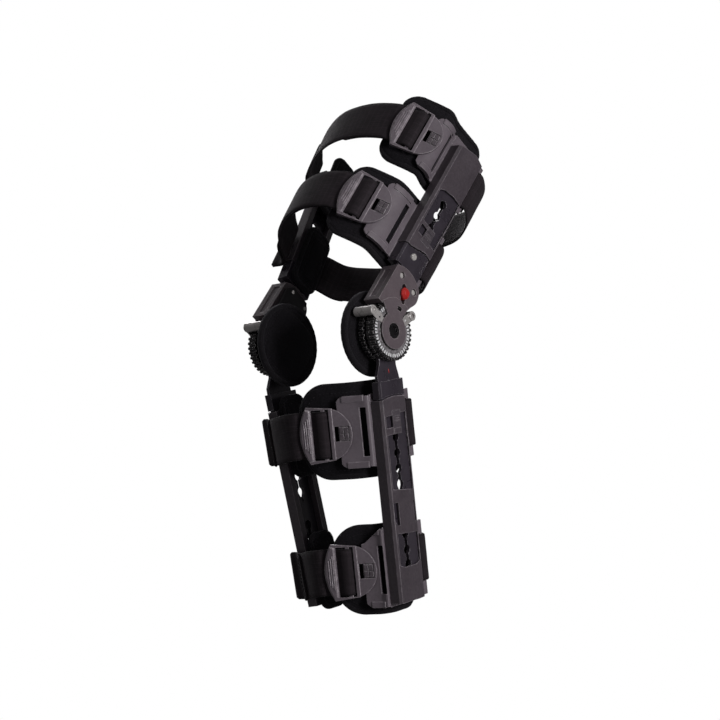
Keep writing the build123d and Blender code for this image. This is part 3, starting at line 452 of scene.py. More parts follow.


# Colours are 8-bit sRGB; lengths are in metres.
# The edge colour and its strength set the paler edges of the hard parts: painted highlight
# mixed with wear.
MATERIALS = [
    (plastic, "shell_plastic", dict(base=(63, 56, 62), edge=(176, 168, 175), rough=0.36,
                                    radius=0.0013, wear_and_highlight=0.85, specular=0.5)),
    (plastic, "cuff_plastic", dict(base=(99, 91, 98), edge=(178, 170, 176), rough=0.38,
                                   radius=0.0012, wear_and_highlight=0.8)),
    (plastic, "buckle_plastic", dict(base=(94, 86, 93), edge=(188, 180, 186), rough=0.34,
                                     radius=0.0011, wear_and_highlight=0.9, specular=0.55)),
    (plastic, "tab_plastic", dict(base=(74, 67, 73), edge=(196, 188, 194), rough=0.3,
                                  radius=0.0008, wear_and_highlight=0.95)),
    (plastic, "button_plastic", dict(base=(64, 58, 64), edge=(170, 162, 168), rough=0.4,
                                     radius=0.0008)),
    (plastic, "housing_plastic", dict(base=(86, 77, 82), edge=(186, 178, 180), rough=0.32,
                                      radius=0.0011, grain=1700.0, grain_height=0.00006,
                                      wear_and_highlight=0.85)),
    (metal, "bar_metal", dict(base=(54, 49, 57), edge=(200, 194, 202), rough=0.3,
                              metallic=0.15, radius=0.0006, wear_and_highlight=0.95)),
    (metal, "plate_metal", dict(base=(48, 46, 49), edge=(120, 116, 120), rough=0.42,
                                metallic=0.2)),
    (metal, "dial_metal", dict(base=(24, 22, 25), edge=(226, 222, 224), rough=0.24,
                               metallic=0.25, radius=0.0007, wear_and_highlight=1.0)),
    (dial_scale, "scale_print", {}),
    (metal, "rivet_steel", dict(base=(196, 192, 190), edge=(245, 243, 241), rough=0.22,
                                metallic=0.35, radius=0.0006, brushed=(900, 900, 40))),
    (metal, "bolt_steel", dict(base=(26, 25, 27), edge=(110, 106, 110), rough=0.3,
                               metallic=0.5, radius=0.0003, wear_and_highlight=0.5)),
    (metal, "stop_metal", dict(base=(184, 180, 179), edge=(240, 237, 235), rough=0.28,
                               metallic=0.4, radius=0.0008, brushed=(60, 1100, 1100))),
    (plastic, "lock_red", dict(base=(168, 26, 24), edge=(236, 106, 92), rough=0.3,
                               grain=1400.0, wear_and_highlight=0.5, specular=0.55)),
    (webbing, "strap_webbing", dict(base=(19, 15, 18), light=(64, 56, 62), sheen=0.06)),
    (webbing, "strap_loop", dict(base=(17, 13, 16), light=(60, 52, 57), sheen=0.07,
                                 rib=0.0022)),
    (fabric, "pad_fabric", dict(base=(12, 10, 14), light=(42, 38, 46), sheen=0.1)),
    (fabric, "pad_binding", dict(base=(12, 10, 13), light=(52, 48, 56), sheen=0.14,
                                 knit=0.0009)),
    (fabric, "thread", dict(base=(30, 28, 31), light=(66, 62, 66), sheen=0.1, knit=0.0005)),
]
MAT = {name: make(name, **settings) for make, name, settings in MATERIALS}


def dress_cad_pieces():
    slot_of = {part["node"]: part["material_slot"] for part in frame["record"]["subparts"]}
    for name, piece in nodes.items():
        material = MAT[slot_of[name]]
        for slot in piece.material_slots:
            slot.material = material
        if not piece.material_slots:
            piece.data.materials.append(material)


dress_cad_pieces()


# ------------------------------------------------------------------ mesh helpers
def new_object(name, verts, faces, material, body=None, smooth=True, uv=None):
    """Object from vertices in mm, with an optional "weave" UV for each vertex."""
    mesh = bpy.data.meshes.new(name)
    mesh.from_pydata([tuple(v * MM for v in p) for p in verts], [], faces)
    mesh.validate()
    mesh.update()
    bm = bmesh.new()
    bm.from_mesh(mesh)
    if uv is not None:
        layer = bm.loops.layers.uv.new("weave")
        for face in bm.faces:
            for loop in face.loops:
                loop[layer].uv = uv[loop.vert.index]
    bmesh.ops.recalc_face_normals(bm, faces=bm.faces)
    bm.to_mesh(mesh)
    bm.free()
    for polygon in mesh.polygons:
        polygon.use_smooth = smooth
    obj = bpy.data.objects.new(name, mesh)
    scene.collection.objects.link(obj)
    mesh.materials.append(MAT[material])
    if body:
        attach(obj, body)
    return obj


def tube_faces(rings, around, start=0, closed=False):
    """Quads between successive closed rings of vertices."""
    faces = []
    for i in range(rings if closed else rings - 1):
        here = start + i * around
        there = start + (i + 1) % rings * around
        for j in range(around):
            k = (j + 1) % around
            faces.append((here + j, here + k, there + k, there + j))
    return faces


def unit(rows):
    return rows / np.maximum(np.linalg.norm(rows, axis=-1, keepdims=True), 1e-9)


def arc_length(points):
    steps = np.linalg.norm(np.diff(points, axis=0), axis=1)
    return np.concatenate([[0], np.cumsum(steps)])


def sample(at, arc, rows):
    """Rows interpolated at one or more arc lengths."""
    return np.stack([np.interp(at, arc, rows[:, c]) for c in range(rows.shape[1])], axis=-1)


def smooth_path(points, step, closed=False):
    """Centripetal Catmull-Rom curve through rows, resampled at an even arc length.

    The first three columns are the position; any others are carried along.
    """
    points = np.asarray(points, float)
    if closed:
        points = np.vstack([points[-1], points, points[0], points[1]])
    else:
        points = np.vstack([2 * points[0] - points[1], points, 2 * points[-1] - points[-2]])

    def knot(a, b):
        return max(np.linalg.norm((b - a)[:3]), 1e-6) ** 0.5

    def between(a, b, start, end, t):
        return (end - t) / (end - start) * a + (t - start) / (end - start) * b

    curve = []
    for i in range(1, len(points) - 2):
        p0, p1, p2, p3 = points[i - 1:i + 3]
        t0 = 0.0
        t1 = t0 + knot(p0, p1)
        t2 = t1 + knot(p1, p2)
        t3 = t2 + knot(p2, p3)
        for t in np.linspace(t1, t2, 24, endpoint=False):
            a1 = between(p0, p1, t0, t1, t)
            a2 = between(p1, p2, t1, t2, t)
            a3 = between(p2, p3, t2, t3, t)
            b1 = between(a1, a2, t0, t2, t)
            b2 = between(a2, a3, t1, t3, t)
            curve.append(between(b1, b2, t1, t2, t))
    curve.append(curve[0] if closed else points[-2])
    curve = np.array(curve)
    arc = arc_length(curve[:, :3])
    count = max(4, int(round(arc[-1] / step)))
    rows = sample(np.linspace(0, arc[-1], count + 1), arc, curve)
    return rows[:-1] if closed else rows


def corner_inset(radius, distance):
    """How far a rounded corner pulls the side in, at a distance from the end."""
    if distance >= radius:
        return 0.0
    return radius - math.sqrt(max(0.0, radius * radius - (radius - distance) ** 2))


# One stitch: (share of its length, lift in mm, share of the thread radius)
STITCH_RINGS = ((0.0, -0.25, 0.35), (0.14, 0.1, 0.85), (0.5, 0.3, 1.0), (0.86, 0.1, 0.85),
                (1.0, -0.25, 0.35))
STITCH_ANGLES = (0.0, 1.257, 2.513, 3.77, 5.027)    # fifths of a turn


def stitches(name, points, normals, body, length=2.6, gap=1.3, radius=0.32,
             closed=False):
    """Row of thread stitches along a seam on a surface, in mm."""
    points, normals = np.asarray(points, float), np.asarray(normals, float)
    if closed:
        points = np.vstack([points, points[:1]])
        normals = np.vstack([normals, normals[:1]])
    arc = arc_length(points)
    count = max(1, int(arc[-1] // (length + gap)))
    pitch = arc[-1] / count
    around, rings = len(STITCH_ANGLES), len(STITCH_RINGS)
    verts, faces = [], []
    for i in range(count):
        first = len(verts)
        for share, lift, thickness in STITCH_RINGS:
            at = i * pitch + gap / 2 + share * (pitch - gap)
            normal = unit(sample(at, arc, normals))
            ahead = sample(min(at + 0.3, arc[-1]), arc, points)
            tangent = unit(ahead - sample(max(at - 0.3, 0), arc, points))
            side = unit(np.cross(tangent, normal))
            centre = sample(at, arc, points) + normal * lift
            for angle in STITCH_ANGLES:
                spoke = side * math.cos(angle) + normal * math.sin(angle)
                verts.append(Vector(centre + spoke * radius * thickness))
        faces += tube_faces(rings, around, start=first)
        last = first + (rings - 1) * around
        faces.append(tuple(range(first, first + around)))
        faces.append(tuple(range(last, last + around))[::-1])
    return new_object(name, verts, faces, "thread", body)


# ------------------------------------------------------------------ strap bands
Band = namedtuple("Band", "object path width normal arc thick")

# Band section, (share of half width, share of half thickness): top row with soft
# selvedges, then the lower row back
BAND_COLUMNS = np.concatenate([[-1.0], np.linspace(-0.965, 0.965, 11), [1.0]])
BAND_TOP = list(zip(BAND_COLUMNS, [0.0, 0.86] + [1.0] * 9 + [0.86, 0.0]))
BAND_RING = BAND_TOP + [(c, -k) for c, k in BAND_TOP[-2:0:-1]]


def band_cap(first):
    """Closes the band ring that starts at a vertex: upper row joined to lower row."""
    last_column = len(BAND_TOP) - 1
    ring = [first + j for j in range(len(BAND_RING))]
    upper = ring[1:last_column]
    lower = ring[last_column + 1:][::-1]
    faces = [(upper[j], upper[j + 1], lower[j + 1], lower[j]) for j in range(len(upper) - 1)]
    faces.append((ring[0], upper[0], lower[0]))
    faces.append((ring[last_column], upper[-1], lower[-1]))
    return faces


def strap_band(name, path, width_dirs, width, thick, body, centre, material="strap_webbing",
               end_radii=(0, 0), ripple=0.22):
    """Webbing band along a path, its normals pointing away from the centre."""
    tangent = unit(np.gradient(path, axis=0))
    across = unit(width_dirs - (width_dirs * tangent).sum(1)[:, None] * tangent)
    normal = np.cross(tangent, across)
    if ((path - centre) * normal).sum(1).mean() < 0:
        normal = -normal
    arc = arc_length(path)
    verts, uv = [], []
    for i in range(len(path)):
        half = width / 2 - max(corner_inset(end_radii[0], arc[i]),
                               corner_inset(end_radii[1], arc[-1] - arc[i]))
        for column, height in BAND_RING:
            p = Vector(path[i]) + Vector(across[i]) * (column * half)
            wave = (noise.noise(p * 0.045) * ripple
                    + noise.noise(p * 0.16 + Vector((7, 3, 1))) * ripple * 0.35)
            verts.append(p + Vector(normal[i]) * (height * thick / 2 + wave))
            uv.append((arc[i] * MM, column * half * MM))
    ring = len(BAND_RING)
    faces = tube_faces(len(path), ring) + band_cap(0) + band_cap((len(path) - 1) * ring)
    obj = new_object(name, verts, faces, material, body, uv=uv)
    return Band(obj, path, across, normal, arc, thick)


def box_stitch(name, band, end, body):
    """Box-and-cross stitching on a band, from 5 mm along it to `end`."""
    start = 5.0
    half = STRAP_WIDTH / 2 - 5.0
    corners = [(start, -half), (end, -half), (end, half), (start, half), (start, -half),
               (end, half), (end, -half), (start, half)]
    line = []
    for (a, b), (c, d) in zip(corners, corners[1:]):
        for f in np.linspace(0, 1, 14, endpoint=False):
            line.append((a + (c - a) * f, b + (d - b) * f))
    line.append(corners[-1])
    points, normals = [], []
    for along, across in line:
        normal = sample(along, band.arc, band.normal)
        points.append(sample(along, band.arc, band.path)
                      + sample(along, band.arc, band.width) * across
                      + normal * (band.thick / 2 + 0.12))
        normals.append(normal)
    stitches(name, points, normals, body)


def end_tab(name, band, length, width, thick, stitch_end, body, centre):
    """Stitched tab on the outside of a band's medial end."""
    end = band.arc >= band.arc[-1] - length
    tab = strap_band(name, band.path[end] + band.normal[end] * 2.5, band.width[end], width,
                     thick, body, centre, "strap_loop", end_radii=(6.0, 1.5), ripple=0.12)
    box_stitch(f"{name}_stitch", tab, stitch_end, body)
    return tab


def ease(k):
    k = min(1.0, max(0.0, k))
    return k * k * (3 - 2 * k)


def add_leg_run(rows, leg, u, outline, turn, slope_share):
    """Appends the run round the leg to rows of (position, width direction).

    The run starts level with the last row and settles to distance u along the leg. Its
    width turns to the leg axis over the share `turn`, then to the medial upright.
    """
    axis, medial = np.array(leg.axis), np.array(leg.medial.along)
    run = [np.array(leg.point(forward, x, u)) for forward, x in outline]
    last, width = rows[-1][:3], rows[-1][3:]
    step = last - rows[-2][:3]
    offset = float((last - run[0]).dot(axis))
    slope = float(step.dot(axis)) / max(1e-6, float(np.linalg.norm(step))) * slope_share
    travel = arc_length(np.vstack([last, *run]))[1:]
    for p, gone in zip(run, travel):
        left = 1 - ease(gone / (0.8 * travel[-1]))
        share = gone / travel[-1]
        first, second = ease(share / turn), ease((share - turn) / (1 - turn))
        w = width * (1 - first) + axis * first
        w = w * (1 - second) + medial * second
        rows.append(np.concatenate([p + axis * ((offset + slope * gone * left) * left), w]))


# ------------------------------------------------------------------ straps
# Buckle frame: x from its origin towards the end bar, z outward.
# Front strap: over the strap bar, down through the frame and under the end bar
BUCKLE_PATH = ((28.9, 0.2), (28.2, 3.2), (29.6, 5.9), (32.6, 6.7), (36.6, 6.2), (41.0, 3.2),
               (45.0, 0.75), (51.0, 0.45), (57.0, 0.3))
# Start of its turned-back layer
RETURN_PATH = ((28.9, 0.0), (29.4, -1.4), (33.0, -2.3), (40.0, -2.35))
# Rear strap, (away from the shell, out) from the slot: inner layer, fold, outer layer
SLOT_PATH = ((9.5, -4.4), (4.0, -3.6), (0.4, -1.9), (-0.9, 0.6), (0.6, 2.9), (5.0, 3.4))


def buckle_frame(level):
    """Origin, x and z directions of a buckle, and the direction of its strap's width."""
    leg, u = level["leg"], level["front_u"]
    section = leg.lateral
    start = leg.section_point(*level["buckle"], u)
    end = leg.section_point(*level["end_bar"], u)
    run = Vector((end[0] - start[0], end[1] - start[1])).normalized()
    x_dir = section.across * run.x + section.out * run.y
    z_dir = x_dir.cross(section.along)
    if z_dir.x < 0:
        z_dir = -z_dir
    width = z_dir.cross(x_dir)
    if width.dot(section.along) <= 0:
        width = -width
    return section.at(u, *start), x_dir, z_dir, np.array(width)


def front_strap(key):
    level = LEVELS[key]
    leg, u = level["leg"], level["front_u"]
    body = f"lat_{leg.name}_slider"
    origin, x_dir, z_dir, width = buckle_frame(level)

    def row(x, z, width_dir):
        return np.concatenate([np.array(origin + x_dir * x + z_dir * z), width_dir])

    rows = [row(x, z, width) for x, z in BUCKLE_PATH]
    add_leg_run(rows, leg, u, level["front"], turn=0.55, slope_share=1.0)
    path = smooth_path(rows, 2.2)
    centre = np.array(leg.point(leg.front_centre, 0.0, u))
    band = strap_band(f"{key}_front_webbing", path[:, :3], path[:, 3:], STRAP_WIDTH - 0.6, 2.3,
                      body, centre)

    # turned-back layer: from the bar back under the band
    start = 26.0
    under = (band.arc >= start) & (band.arc <= start + leg.return_length)
    points = band.path[under] - band.normal[under] * 2.75
    rows = [row(x, z, band.width[0]) for x, z in RETURN_PATH]
    rows += list(np.hstack([points, band.width[under]])[2::4])
    path = smooth_path(rows, 2.2)
    layer = strap_band(f"{key}_front_return", path[:, :3], path[:, 3:], STRAP_WIDTH - 2.2, 2.1,
                       body, centre, "strap_loop", end_radii=(0, 9.0))

    tab = end_tab(f"{key}_front_tab", band, length=leg.tab_length, width=STRAP_WIDTH + 1.6,
                  thick=2.3, stitch_end=21.0, body=body, centre=centre)
    for part in (band, layer, tab):
        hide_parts(f"{key}_front_strap")


def rear_strap(key):
    level = LEVELS[key]
    leg, u = level["leg"], level["rear_u"]
    body = f"lat_{leg.name}_slider"
    wing_u = sum(level["wing"]) / 2
    slot_t = leg.rear_edge - leg.forward * leg.slot_gap
    slot_n = SHELL_BACK + leg.slot_lift
    rows = []
    for away, out in SLOT_PATH:
        point = leg.lateral.at(wing_u, slot_t - leg.forward * away, slot_n + out)
        rows.append(np.concatenate([np.array(point), np.array(leg.lateral.along)]))
    add_leg_run(rows, leg, u, level["rear"], turn=0.6, slope_share=0.0)
    path = smooth_path(rows, 2.4)
    centre = np.array(leg.point(leg.rear_centre, 0.0, u))
    band = strap_band(f"{key}_rear_webbing", path[:, :3], path[:, 3:], STRAP_WIDTH - 0.6, 2.3,
                      body, centre)
    tab = end_tab(f"{key}_rear_tab", band, length=46.0, width=STRAP_WIDTH - 2.0, thick=2.2,
                  stitch_end=20.0, body=body, centre=centre)
    for part in (band, tab):
        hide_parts(f"{key}_rear_strap")


for key in LEVELS:
    front_strap(key)
    rear_strap(key)


# ------------------------------------------------------------------ pad cloth
VOXEL = 0.0045          # remesh size before the cloth run
PRESSURE = 4.0
PUFF_LIMIT = 0.0022     # farthest any point may travel
PUFF_FRAMES = 18


def bake_modifiers(obj):
    graph = bpy.context.evaluated_depsgraph_get()
    mesh = bpy.data.meshes.new_from_object(obj.evaluated_get(graph))
    obj.modifiers.clear()
    old = obj.data
    obj.data = mesh
    bpy.data.meshes.remove(old)
    return mesh


def positions(mesh):
    flat = np.zeros(len(mesh.vertices) * 3)
    mesh.vertices.foreach_get("co", flat)
    return flat.reshape(-1, 3)


def inflate(obj):
    """Puffs a closed pad with a short cloth run, limits the travel and keeps the result."""
    remesh = obj.modifiers.new("remesh", "REMESH")
    remesh.mode = "VOXEL"
    remesh.voxel_size = VOXEL
    mesh = bake_modifiers(obj)
    mesh.materials.clear()
    mesh.materials.append(MAT["pad_fabric"])
    start = positions(mesh)
    cloth = obj.modifiers.new("cloth", "CLOTH")
    settings = cloth.settings
    settings.quality = 4
    settings.mass = 0.25
    settings.use_pressure = True
    settings.uniform_pressure_force = PRESSURE
    settings.tension_stiffness = 22
    settings.compression_stiffness = 22
    settings.shear_stiffness = 8
    settings.bending_stiffness = 1.2
    settings.effector_weights.gravity = 0
    cloth.collision_settings.use_collision = False
    cloth.point_cache.frame_start = 1
    cloth.point_cache.frame_end = PUFF_FRAMES + 1
    for number in range(1, PUFF_FRAMES + 1):
        scene.frame_set(number)
    graph = bpy.context.evaluated_depsgraph_get()
    travel = positions(obj.evaluated_get(graph).data) - start
    length = np.linalg.norm(travel, axis=1)
    travel *= np.minimum(1.0, PUFF_LIMIT / np.maximum(length, 1e-9))[:, None]
    obj.modifiers.clear()
    mesh.vertices.foreach_set("co", (start + travel).ravel())
    mesh.update()
    scene.frame_set(1)


def subdivide(obj):
    modifier = obj.modifiers.new("sub", "SUBSURF")
    modifier.levels = modifier.render_levels = 1
    for polygon in bake_modifiers(obj).polygons:
        polygon.use_smooth = True


def tree_of(points):
    tree = KDTree(len(points))
    for i, p in enumerate(points):
        tree.insert(Vector(p), i)
    tree.balance()
    return tree


def press_seam(obj, seam, depth, spread):
    """Sinks a channel into the surface along a seam line, all in metres."""
    tree = tree_of(seam)
    mesh = obj.data
    normals = [v.normal.copy() for v in mesh.vertices]
    for vertex, normal in zip(mesh.vertices, normals):
        distance = tree.find(vertex.co)[2]
        if distance < spread * 3:
            vertex.co -= normal * depth * math.exp(-(distance / spread) ** 2)
    mesh.update()


# ------------------------------------------------------------------ pad shape
@dataclass
class PadShape:
    """Rounded outline, 0 to length by low to high, on a mid surface.

    surface(s, u) gives the point and outward normal; radii are those of the corners at
    the start and the end of s.
    """
    surface: object
    length: float
    low: float
    high: float
    radii: tuple
    thick: float

    def limits(self, s):
        """Range of u at station s."""
        inset = max(corner_inset(self.radii[0], s),
                    corner_inset(self.radii[1], self.length - s))
        return self.low + inset, self.high - inset

    def stations(self):
        """Stations along s, closer where the outline curves."""
        curve_steps = 12
        start_curve, end_curve = (min(r, self.length * 0.45) for r in self.radii)
        rows = [0.0]
        for i in range(1, curve_steps + 1):
            rows.append(start_curve * (1 - math.cos(math.pi / 2 * i / curve_steps)))
        start, end = rows[-1], self.length - end_curve
        count = max(4, int((end - start) / 3.0))
        rows += [start + (end - start) * i / count for i in range(1, count + 1)]
        for i in range(1, curve_steps + 1):
            rows.append(end + (self.length - end) * math.sin(math.pi / 2 * i / curve_steps))
        return sorted(set(round(v, 4) for v in rows))

    def shares(self):
        """Shares of the u range, closer towards both sides."""
        count = max(8, int((self.high - self.low) / 3.0))
        shares = [0.5 - 0.5 * math.cos(math.pi * j / count) * 0.72
                  - 0.5 * (1 - 2 * j / count) * 0.28 for j in range(count + 1)]
        shares[0], shares[-1] = 0.0, 1.0
        return shares

    def cushion(self, name):
        """Closed cushion; its two faces share the boundary vertices."""
        stations, shares = self.stations(), self.shares()
        outer, inner, verts, faces = {}, {}, [], []
        for i, s in enumerate(stations):
            low, high = self.limits(s)
            for j, share in enumerate(shares):
                u = low + (high - low) * share
                p, normal = self.surface(s, u)
                if i in (0, len(stations) - 1) or j in (0, len(shares) - 1):
                    outer[i, j] = inner[i, j] = len(verts)
                    verts.append(p)
                    continue
                edge = min(s, self.length - s, u - low, high - u)
                x = min(1.0, edge / (self.thick * 0.62))
                half = self.thick / 2 * math.sqrt(max(0.0, 1 - (1 - x) ** 2))
                swell = 0.12 * self.thick * min(1.0, edge / 24.0)
                uneven = noise.noise(Vector((s * 0.06, u * 0.06, 3.1 + len(name)))) * 0.35
                outer[i, j] = len(verts)
                verts.append(p + normal * (half + swell * 0.5 + uneven))
                inner[i, j] = len(verts)
                verts.append(p - normal * (half + swell + uneven * 0.6))
        for i in range(len(stations) - 1):
            for j in range(len(shares) - 1):
                a, b, c, d = (i, j), (i + 1, j), (i + 1, j + 1), (i, j + 1)
                for quad in ([outer[k] for k in (a, b, c, d)],
                             [inner[k] for k in (a, d, c, b)]):
                    face = tuple(dict.fromkeys(quad))
                    if len(face) > 2:
                        faces.append(face)
        return new_object(name, verts, faces, "pad_fabric")

    def outline(self, inset):
        """Closed loop of (point, normal) at an inset that follows the rounded corners."""
        steps = 60
        low_side, high_side = [], []
        start_radius, end_radius = (max(r - inset, 0.5) for r in self.radii)
        for i in range(steps + 1):
            share = 0.5 - 0.5 * math.cos(math.pi * i / steps)
            s = inset + (self.length - 2 * inset) * share
            corner = max(corner_inset(start_radius, s - inset),
                         corner_inset(end_radius, self.length - s - inset))
            low_side.append((s, self.low + inset + corner))
            high_side.append((s, self.high - inset - corner))

        def across(a, b):
            return [(a[0], a[1] + (b[1] - a[1]) * f) for f in np.linspace(0, 1, 14)[1:-1]]

        loop = (low_side + across(low_side[-1], high_side[-1]) + high_side[::-1]
                + across(high_side[0], low_side[0]))
        return [self.surface(s, u) for s, u in loop]


def sink_seams(obj, shape, stitched):
    """Sunken lines on both faces: one beside the binding, one that carries the stitches."""
    for line, depth, spread in ((shape.outline(5.6), 0.0011, 0.0013),
                                (stitched, 0.0015, 0.0017)):
        for side in (1, -1):
            points = [np.array(p + n * (side * shape.thick * 0.5)) for p, n in line]
            points = smooth_path(points, 2.0, closed=True)
            press_seam(obj, [tuple(v * MM for v in p) for p in points], depth, spread)


def pad_stitches(name, obj, shape, stitched, body):
    """Stitches in the sunken line of each face; only their height comes from the mesh."""
    tree = tree_of([v.co for v in obj.data.vertices])
    seams = []
    for side, tag in ((1, "outer"), (-1, "inner")):
        rows = []
        for p, normal in stitched:
            near = tree.find_n((p + normal * (side * shape.thick * 0.5)) * MM, 4)
            weights = [1 / (distance + 1e-5) for _, _, distance in near]
            spot = sum((co * w for (co, _, _), w in zip(near, weights)), Vector())
            height = (spot / sum(weights) - p * MM).dot(normal)
            point = np.array(p + normal * (height / MM + side * 0.12))
            rows.append(np.concatenate([point, np.array(normal * side)]))
        rows = smooth_path(rows, 1.6, closed=True)
        seams.append(stitches(f"{name}_seam_{tag}", rows[:, :3], rows[:, 3:], body,
                              length=2.8, gap=1.4, radius=0.3, closed=True))
    return seams


def pad_binding(name, shape, body):
    """Bound edge: a folded tape round the outline."""
    rows = [np.concatenate([np.array(p), np.array(n)]) for p, n in shape.outline(0.3)]
    rows = smooth_path(rows, 2.2, closed=True)
    points, normals = rows[:, :3], unit(rows[:, 3:])
    tangents = unit(np.roll(points, -1, 0) - np.roll(points, 1, 0))
    sideways = np.cross(tangents, normals)
    if ((points - points.mean(0)) * sideways).sum(1).mean() < 0:
        sideways = -sideways
    profile = []
    for angle in np.linspace(0, 2 * math.pi, 16, endpoint=False):
        x, y = math.cos(angle), math.sin(angle)
        profile.append((math.copysign(abs(x) ** 0.8, x) * 3.1 - 2.1,
                        math.copysign(abs(y) ** 0.75, y) * (shape.thick * 0.47)))
    verts = []
    for i in range(len(points)):
        pucker = 1 + 0.06 * math.sin(i * 1.9) + 0.05 * noise.noise(Vector(points[i]) * 0.15)
        for a, b in profile:
            verts.append(Vector(points[i] + sideways[i] * a + normals[i] * b * pucker))
    faces = tube_faces(len(points), len(profile), closed=True)
    return new_object(f"{name}_binding", verts, faces, "pad_binding", body)


def soft_pad(name, shape, body, replaced, seam=9.6):
    """Foam pad in fabric with a bound edge and a stitched line at the seam inset."""
    obj = shape.cushion(name)
    inflate(obj)
    subdivide(obj)
    stitched = shape.outline(seam)
    sink_seams(obj, shape, stitched)
    trims = pad_stitches(name, obj, shape, stitched, body)
    trims.append(pad_binding(name, shape, body))
    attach(obj, body)
    for part in [obj] + trims:
        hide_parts(replaced)


# ------------------------------------------------------------------ pads
PAD_THICK = 6.4
PAD_OFFSET = 7.7        # from the shell or buckle line to the lateral pad's mid surface


def section_surface(section, outline):
    """Mid surface swept along an upright from an (across, out) curve, and its length."""
    curve = smooth_path([(t, n, 0.0) for t, n in outline], 1.0)[:, :2]
    tangents = unit(np.gradient(curve, axis=0))
    normals = np.stack([-tangents[:, 1], tangents[:, 0]], 1)
    if normals[:, 1].mean() < 0:
        normals = -normals
    arc = arc_length(curve)

    def surface(s, u):
        t, n = sample(s, arc, curve)
        a, b = sample(s, arc, normals)
        size = math.hypot(a, b)
        return section.at(u, t, n), section.across * (a / size) + section.out * (b / size)

    return surface, arc[-1]


def inward(before, point, after, distance):
    """Section point moved towards the leg, square to the line from before to after."""
    dx, dy = after[0] - before[0], after[1] - before[1]
    size = math.hypot(dx, dy)
    nx, ny = dy / size, -dx / size
    if ny > 0:
        nx, ny = -nx, -ny
    return point[0] + nx * distance, point[1] + ny * distance


def lateral_pad(key):
    """Pad that lines the shell and then bends forward along the buckle."""
    level = LEVELS[key]
    leg, u = level["leg"], level["front_u"]
    front, rear, forward = leg.front_edge, leg.rear_edge, leg.forward
    middle = leg.section_point(*level["buckle"], u)
    end_bar = leg.section_point(*level["end_bar"], u)
    run = Vector((end_bar[0] - middle[0], end_bar[1] - middle[1])).normalized()
    leg_side = Vector((run.y, -run.x))
    if leg_side.y > 0:
        leg_side = -leg_side
    middle = [middle[i] + leg_side[i] * level["pad_sink"] for i in (0, 1)]
    tip = [middle[i] + run[i] * 17 for i in (0, 1)]
    root = (front + forward * 2.6, SHELL_BACK - 0.8)

    def bend(k):
        """Quadratic curve from root to tip, drawn to middle."""
        return [(1 - k) ** 2 * root[i] + 2 * k * (1 - k) * middle[i] + k * k * tip[i]
                for i in (0, 1)]

    base = SHELL_BACK - PAD_OFFSET
    outline = [
        (rear - forward * 6, base),
        ((front + rear * 2) / 3, base),
        (front - forward * (14 if leg is CALF else 1), base - 0.4),
        inward(bend(0.45), bend(0.6), bend(0.75), PAD_OFFSET + 0.6),
        inward(middle, tip, end_bar, PAD_OFFSET + 1.2),
        leg.section_point(*level["pad_end"], u),
    ]
    surface, length = section_surface(leg.lateral, outline)
    shape = PadShape(surface, length, *level["pad"], (14, leg.pad_end_radius), PAD_THICK)
    soft_pad(f"lat_{key}_cushion", shape, f"lat_{leg.name}_slider", f"lat_{key}_pad")


def medial_pad(key):
    """Nearly flat pad behind the medial shell."""
    level = LEVELS[key]
    leg = level["leg"]
    front = leg.front_edge - leg.forward * 4
    rear = leg.rear_edge + leg.forward * 1
    middle_n = SHELL_BACK + 1.3 - 3.75
    outline = [(rear, middle_n), ((front + rear) / 2, middle_n - 0.3), (front, middle_n)]
    surface, length = section_surface(leg.medial, outline)
    low, high = level["pad"]
    shape = PadShape(surface, length, low + 6, high - 6, (12, 12), PAD_THICK)
    soft_pad(f"med_{key}_cushion", shape, f"med_{leg.name}_slider", f"med_{key}_pad")


# Section of the ring on a condyle pad's outer face: (radius, X)
HOOK_DISC = [(10.2, 64.3), (10.0, 65.4), (10.6, 66.0), (15.0, 66.05), (20.4, 66.0),
             (21.0, 65.4), (20.8, 64.3)]


def condyle_pad(side):
    """Round pad beside the knee axis, with the ring on its outer face."""
    sign = SIDES[side]
    radius = 45.0
    middle_x = 60.2

    def surface(s, u):
        # square parameters bent to a disc
        a, b = (s - radius) / radius, u / radius
        rise = a * math.sqrt(max(0.0, 1 - b * b / 2))
        ahead = b * math.sqrt(max(0.0, 1 - a * a / 2))
        p = OUT * (sign * middle_x) + UP * (rise * radius) + FORWARD * (ahead * radius)
        return p, OUT * sign

    shape = PadShape(surface, 2 * radius, -radius, radius, (0, 0), thick=7.8)
    soft_pad(f"{side}_condyle_cushion", shape, "thigh_frame", f"{side}_condyle_pad", seam=10.0)

    count = 48
    verts = []
    for i in range(count):
        angle = 2 * math.pi * i / count
        for r, x in HOOK_DISC:
            verts.append(OUT * (sign * x) + UP * (r * math.cos(angle))
                         + FORWARD * (r * math.sin(angle)))
    faces = tube_faces(count, len(HOOK_DISC), closed=True)
    disc = new_object(f"{side}_condyle_hook_disc", verts, faces, "pad_binding", "thigh_frame")
    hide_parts(f"{side}_condyle_pad")


for key in LEVELS:
    lateral_pad(key)
    medial_pad(key)
for side in SIDES:
    condyle_pad(side)


# ------------------------------------------------------------------ dial numbers, index marks
def text_mesh(name, text, size, depth):
    """Centred text as a mesh, in metres."""
    curve = bpy.data.curves.new(name, "FONT")
    curve.body = text
    curve.size = size
    curve.align_x = "CENTER"
    curve.align_y = "CENTER"
    curve.extrude = depth
    carrier = bpy.data.objects.new("tmp", curve)
    scene.collection.objects.link(carrier)
    graph = bpy.context.evaluated_depsgraph_get()
    mesh = bpy.data.meshes.new_from_object(carrier.evaluated_get(graph))
    bpy.data.objects.remove(carrier)
    return mesh


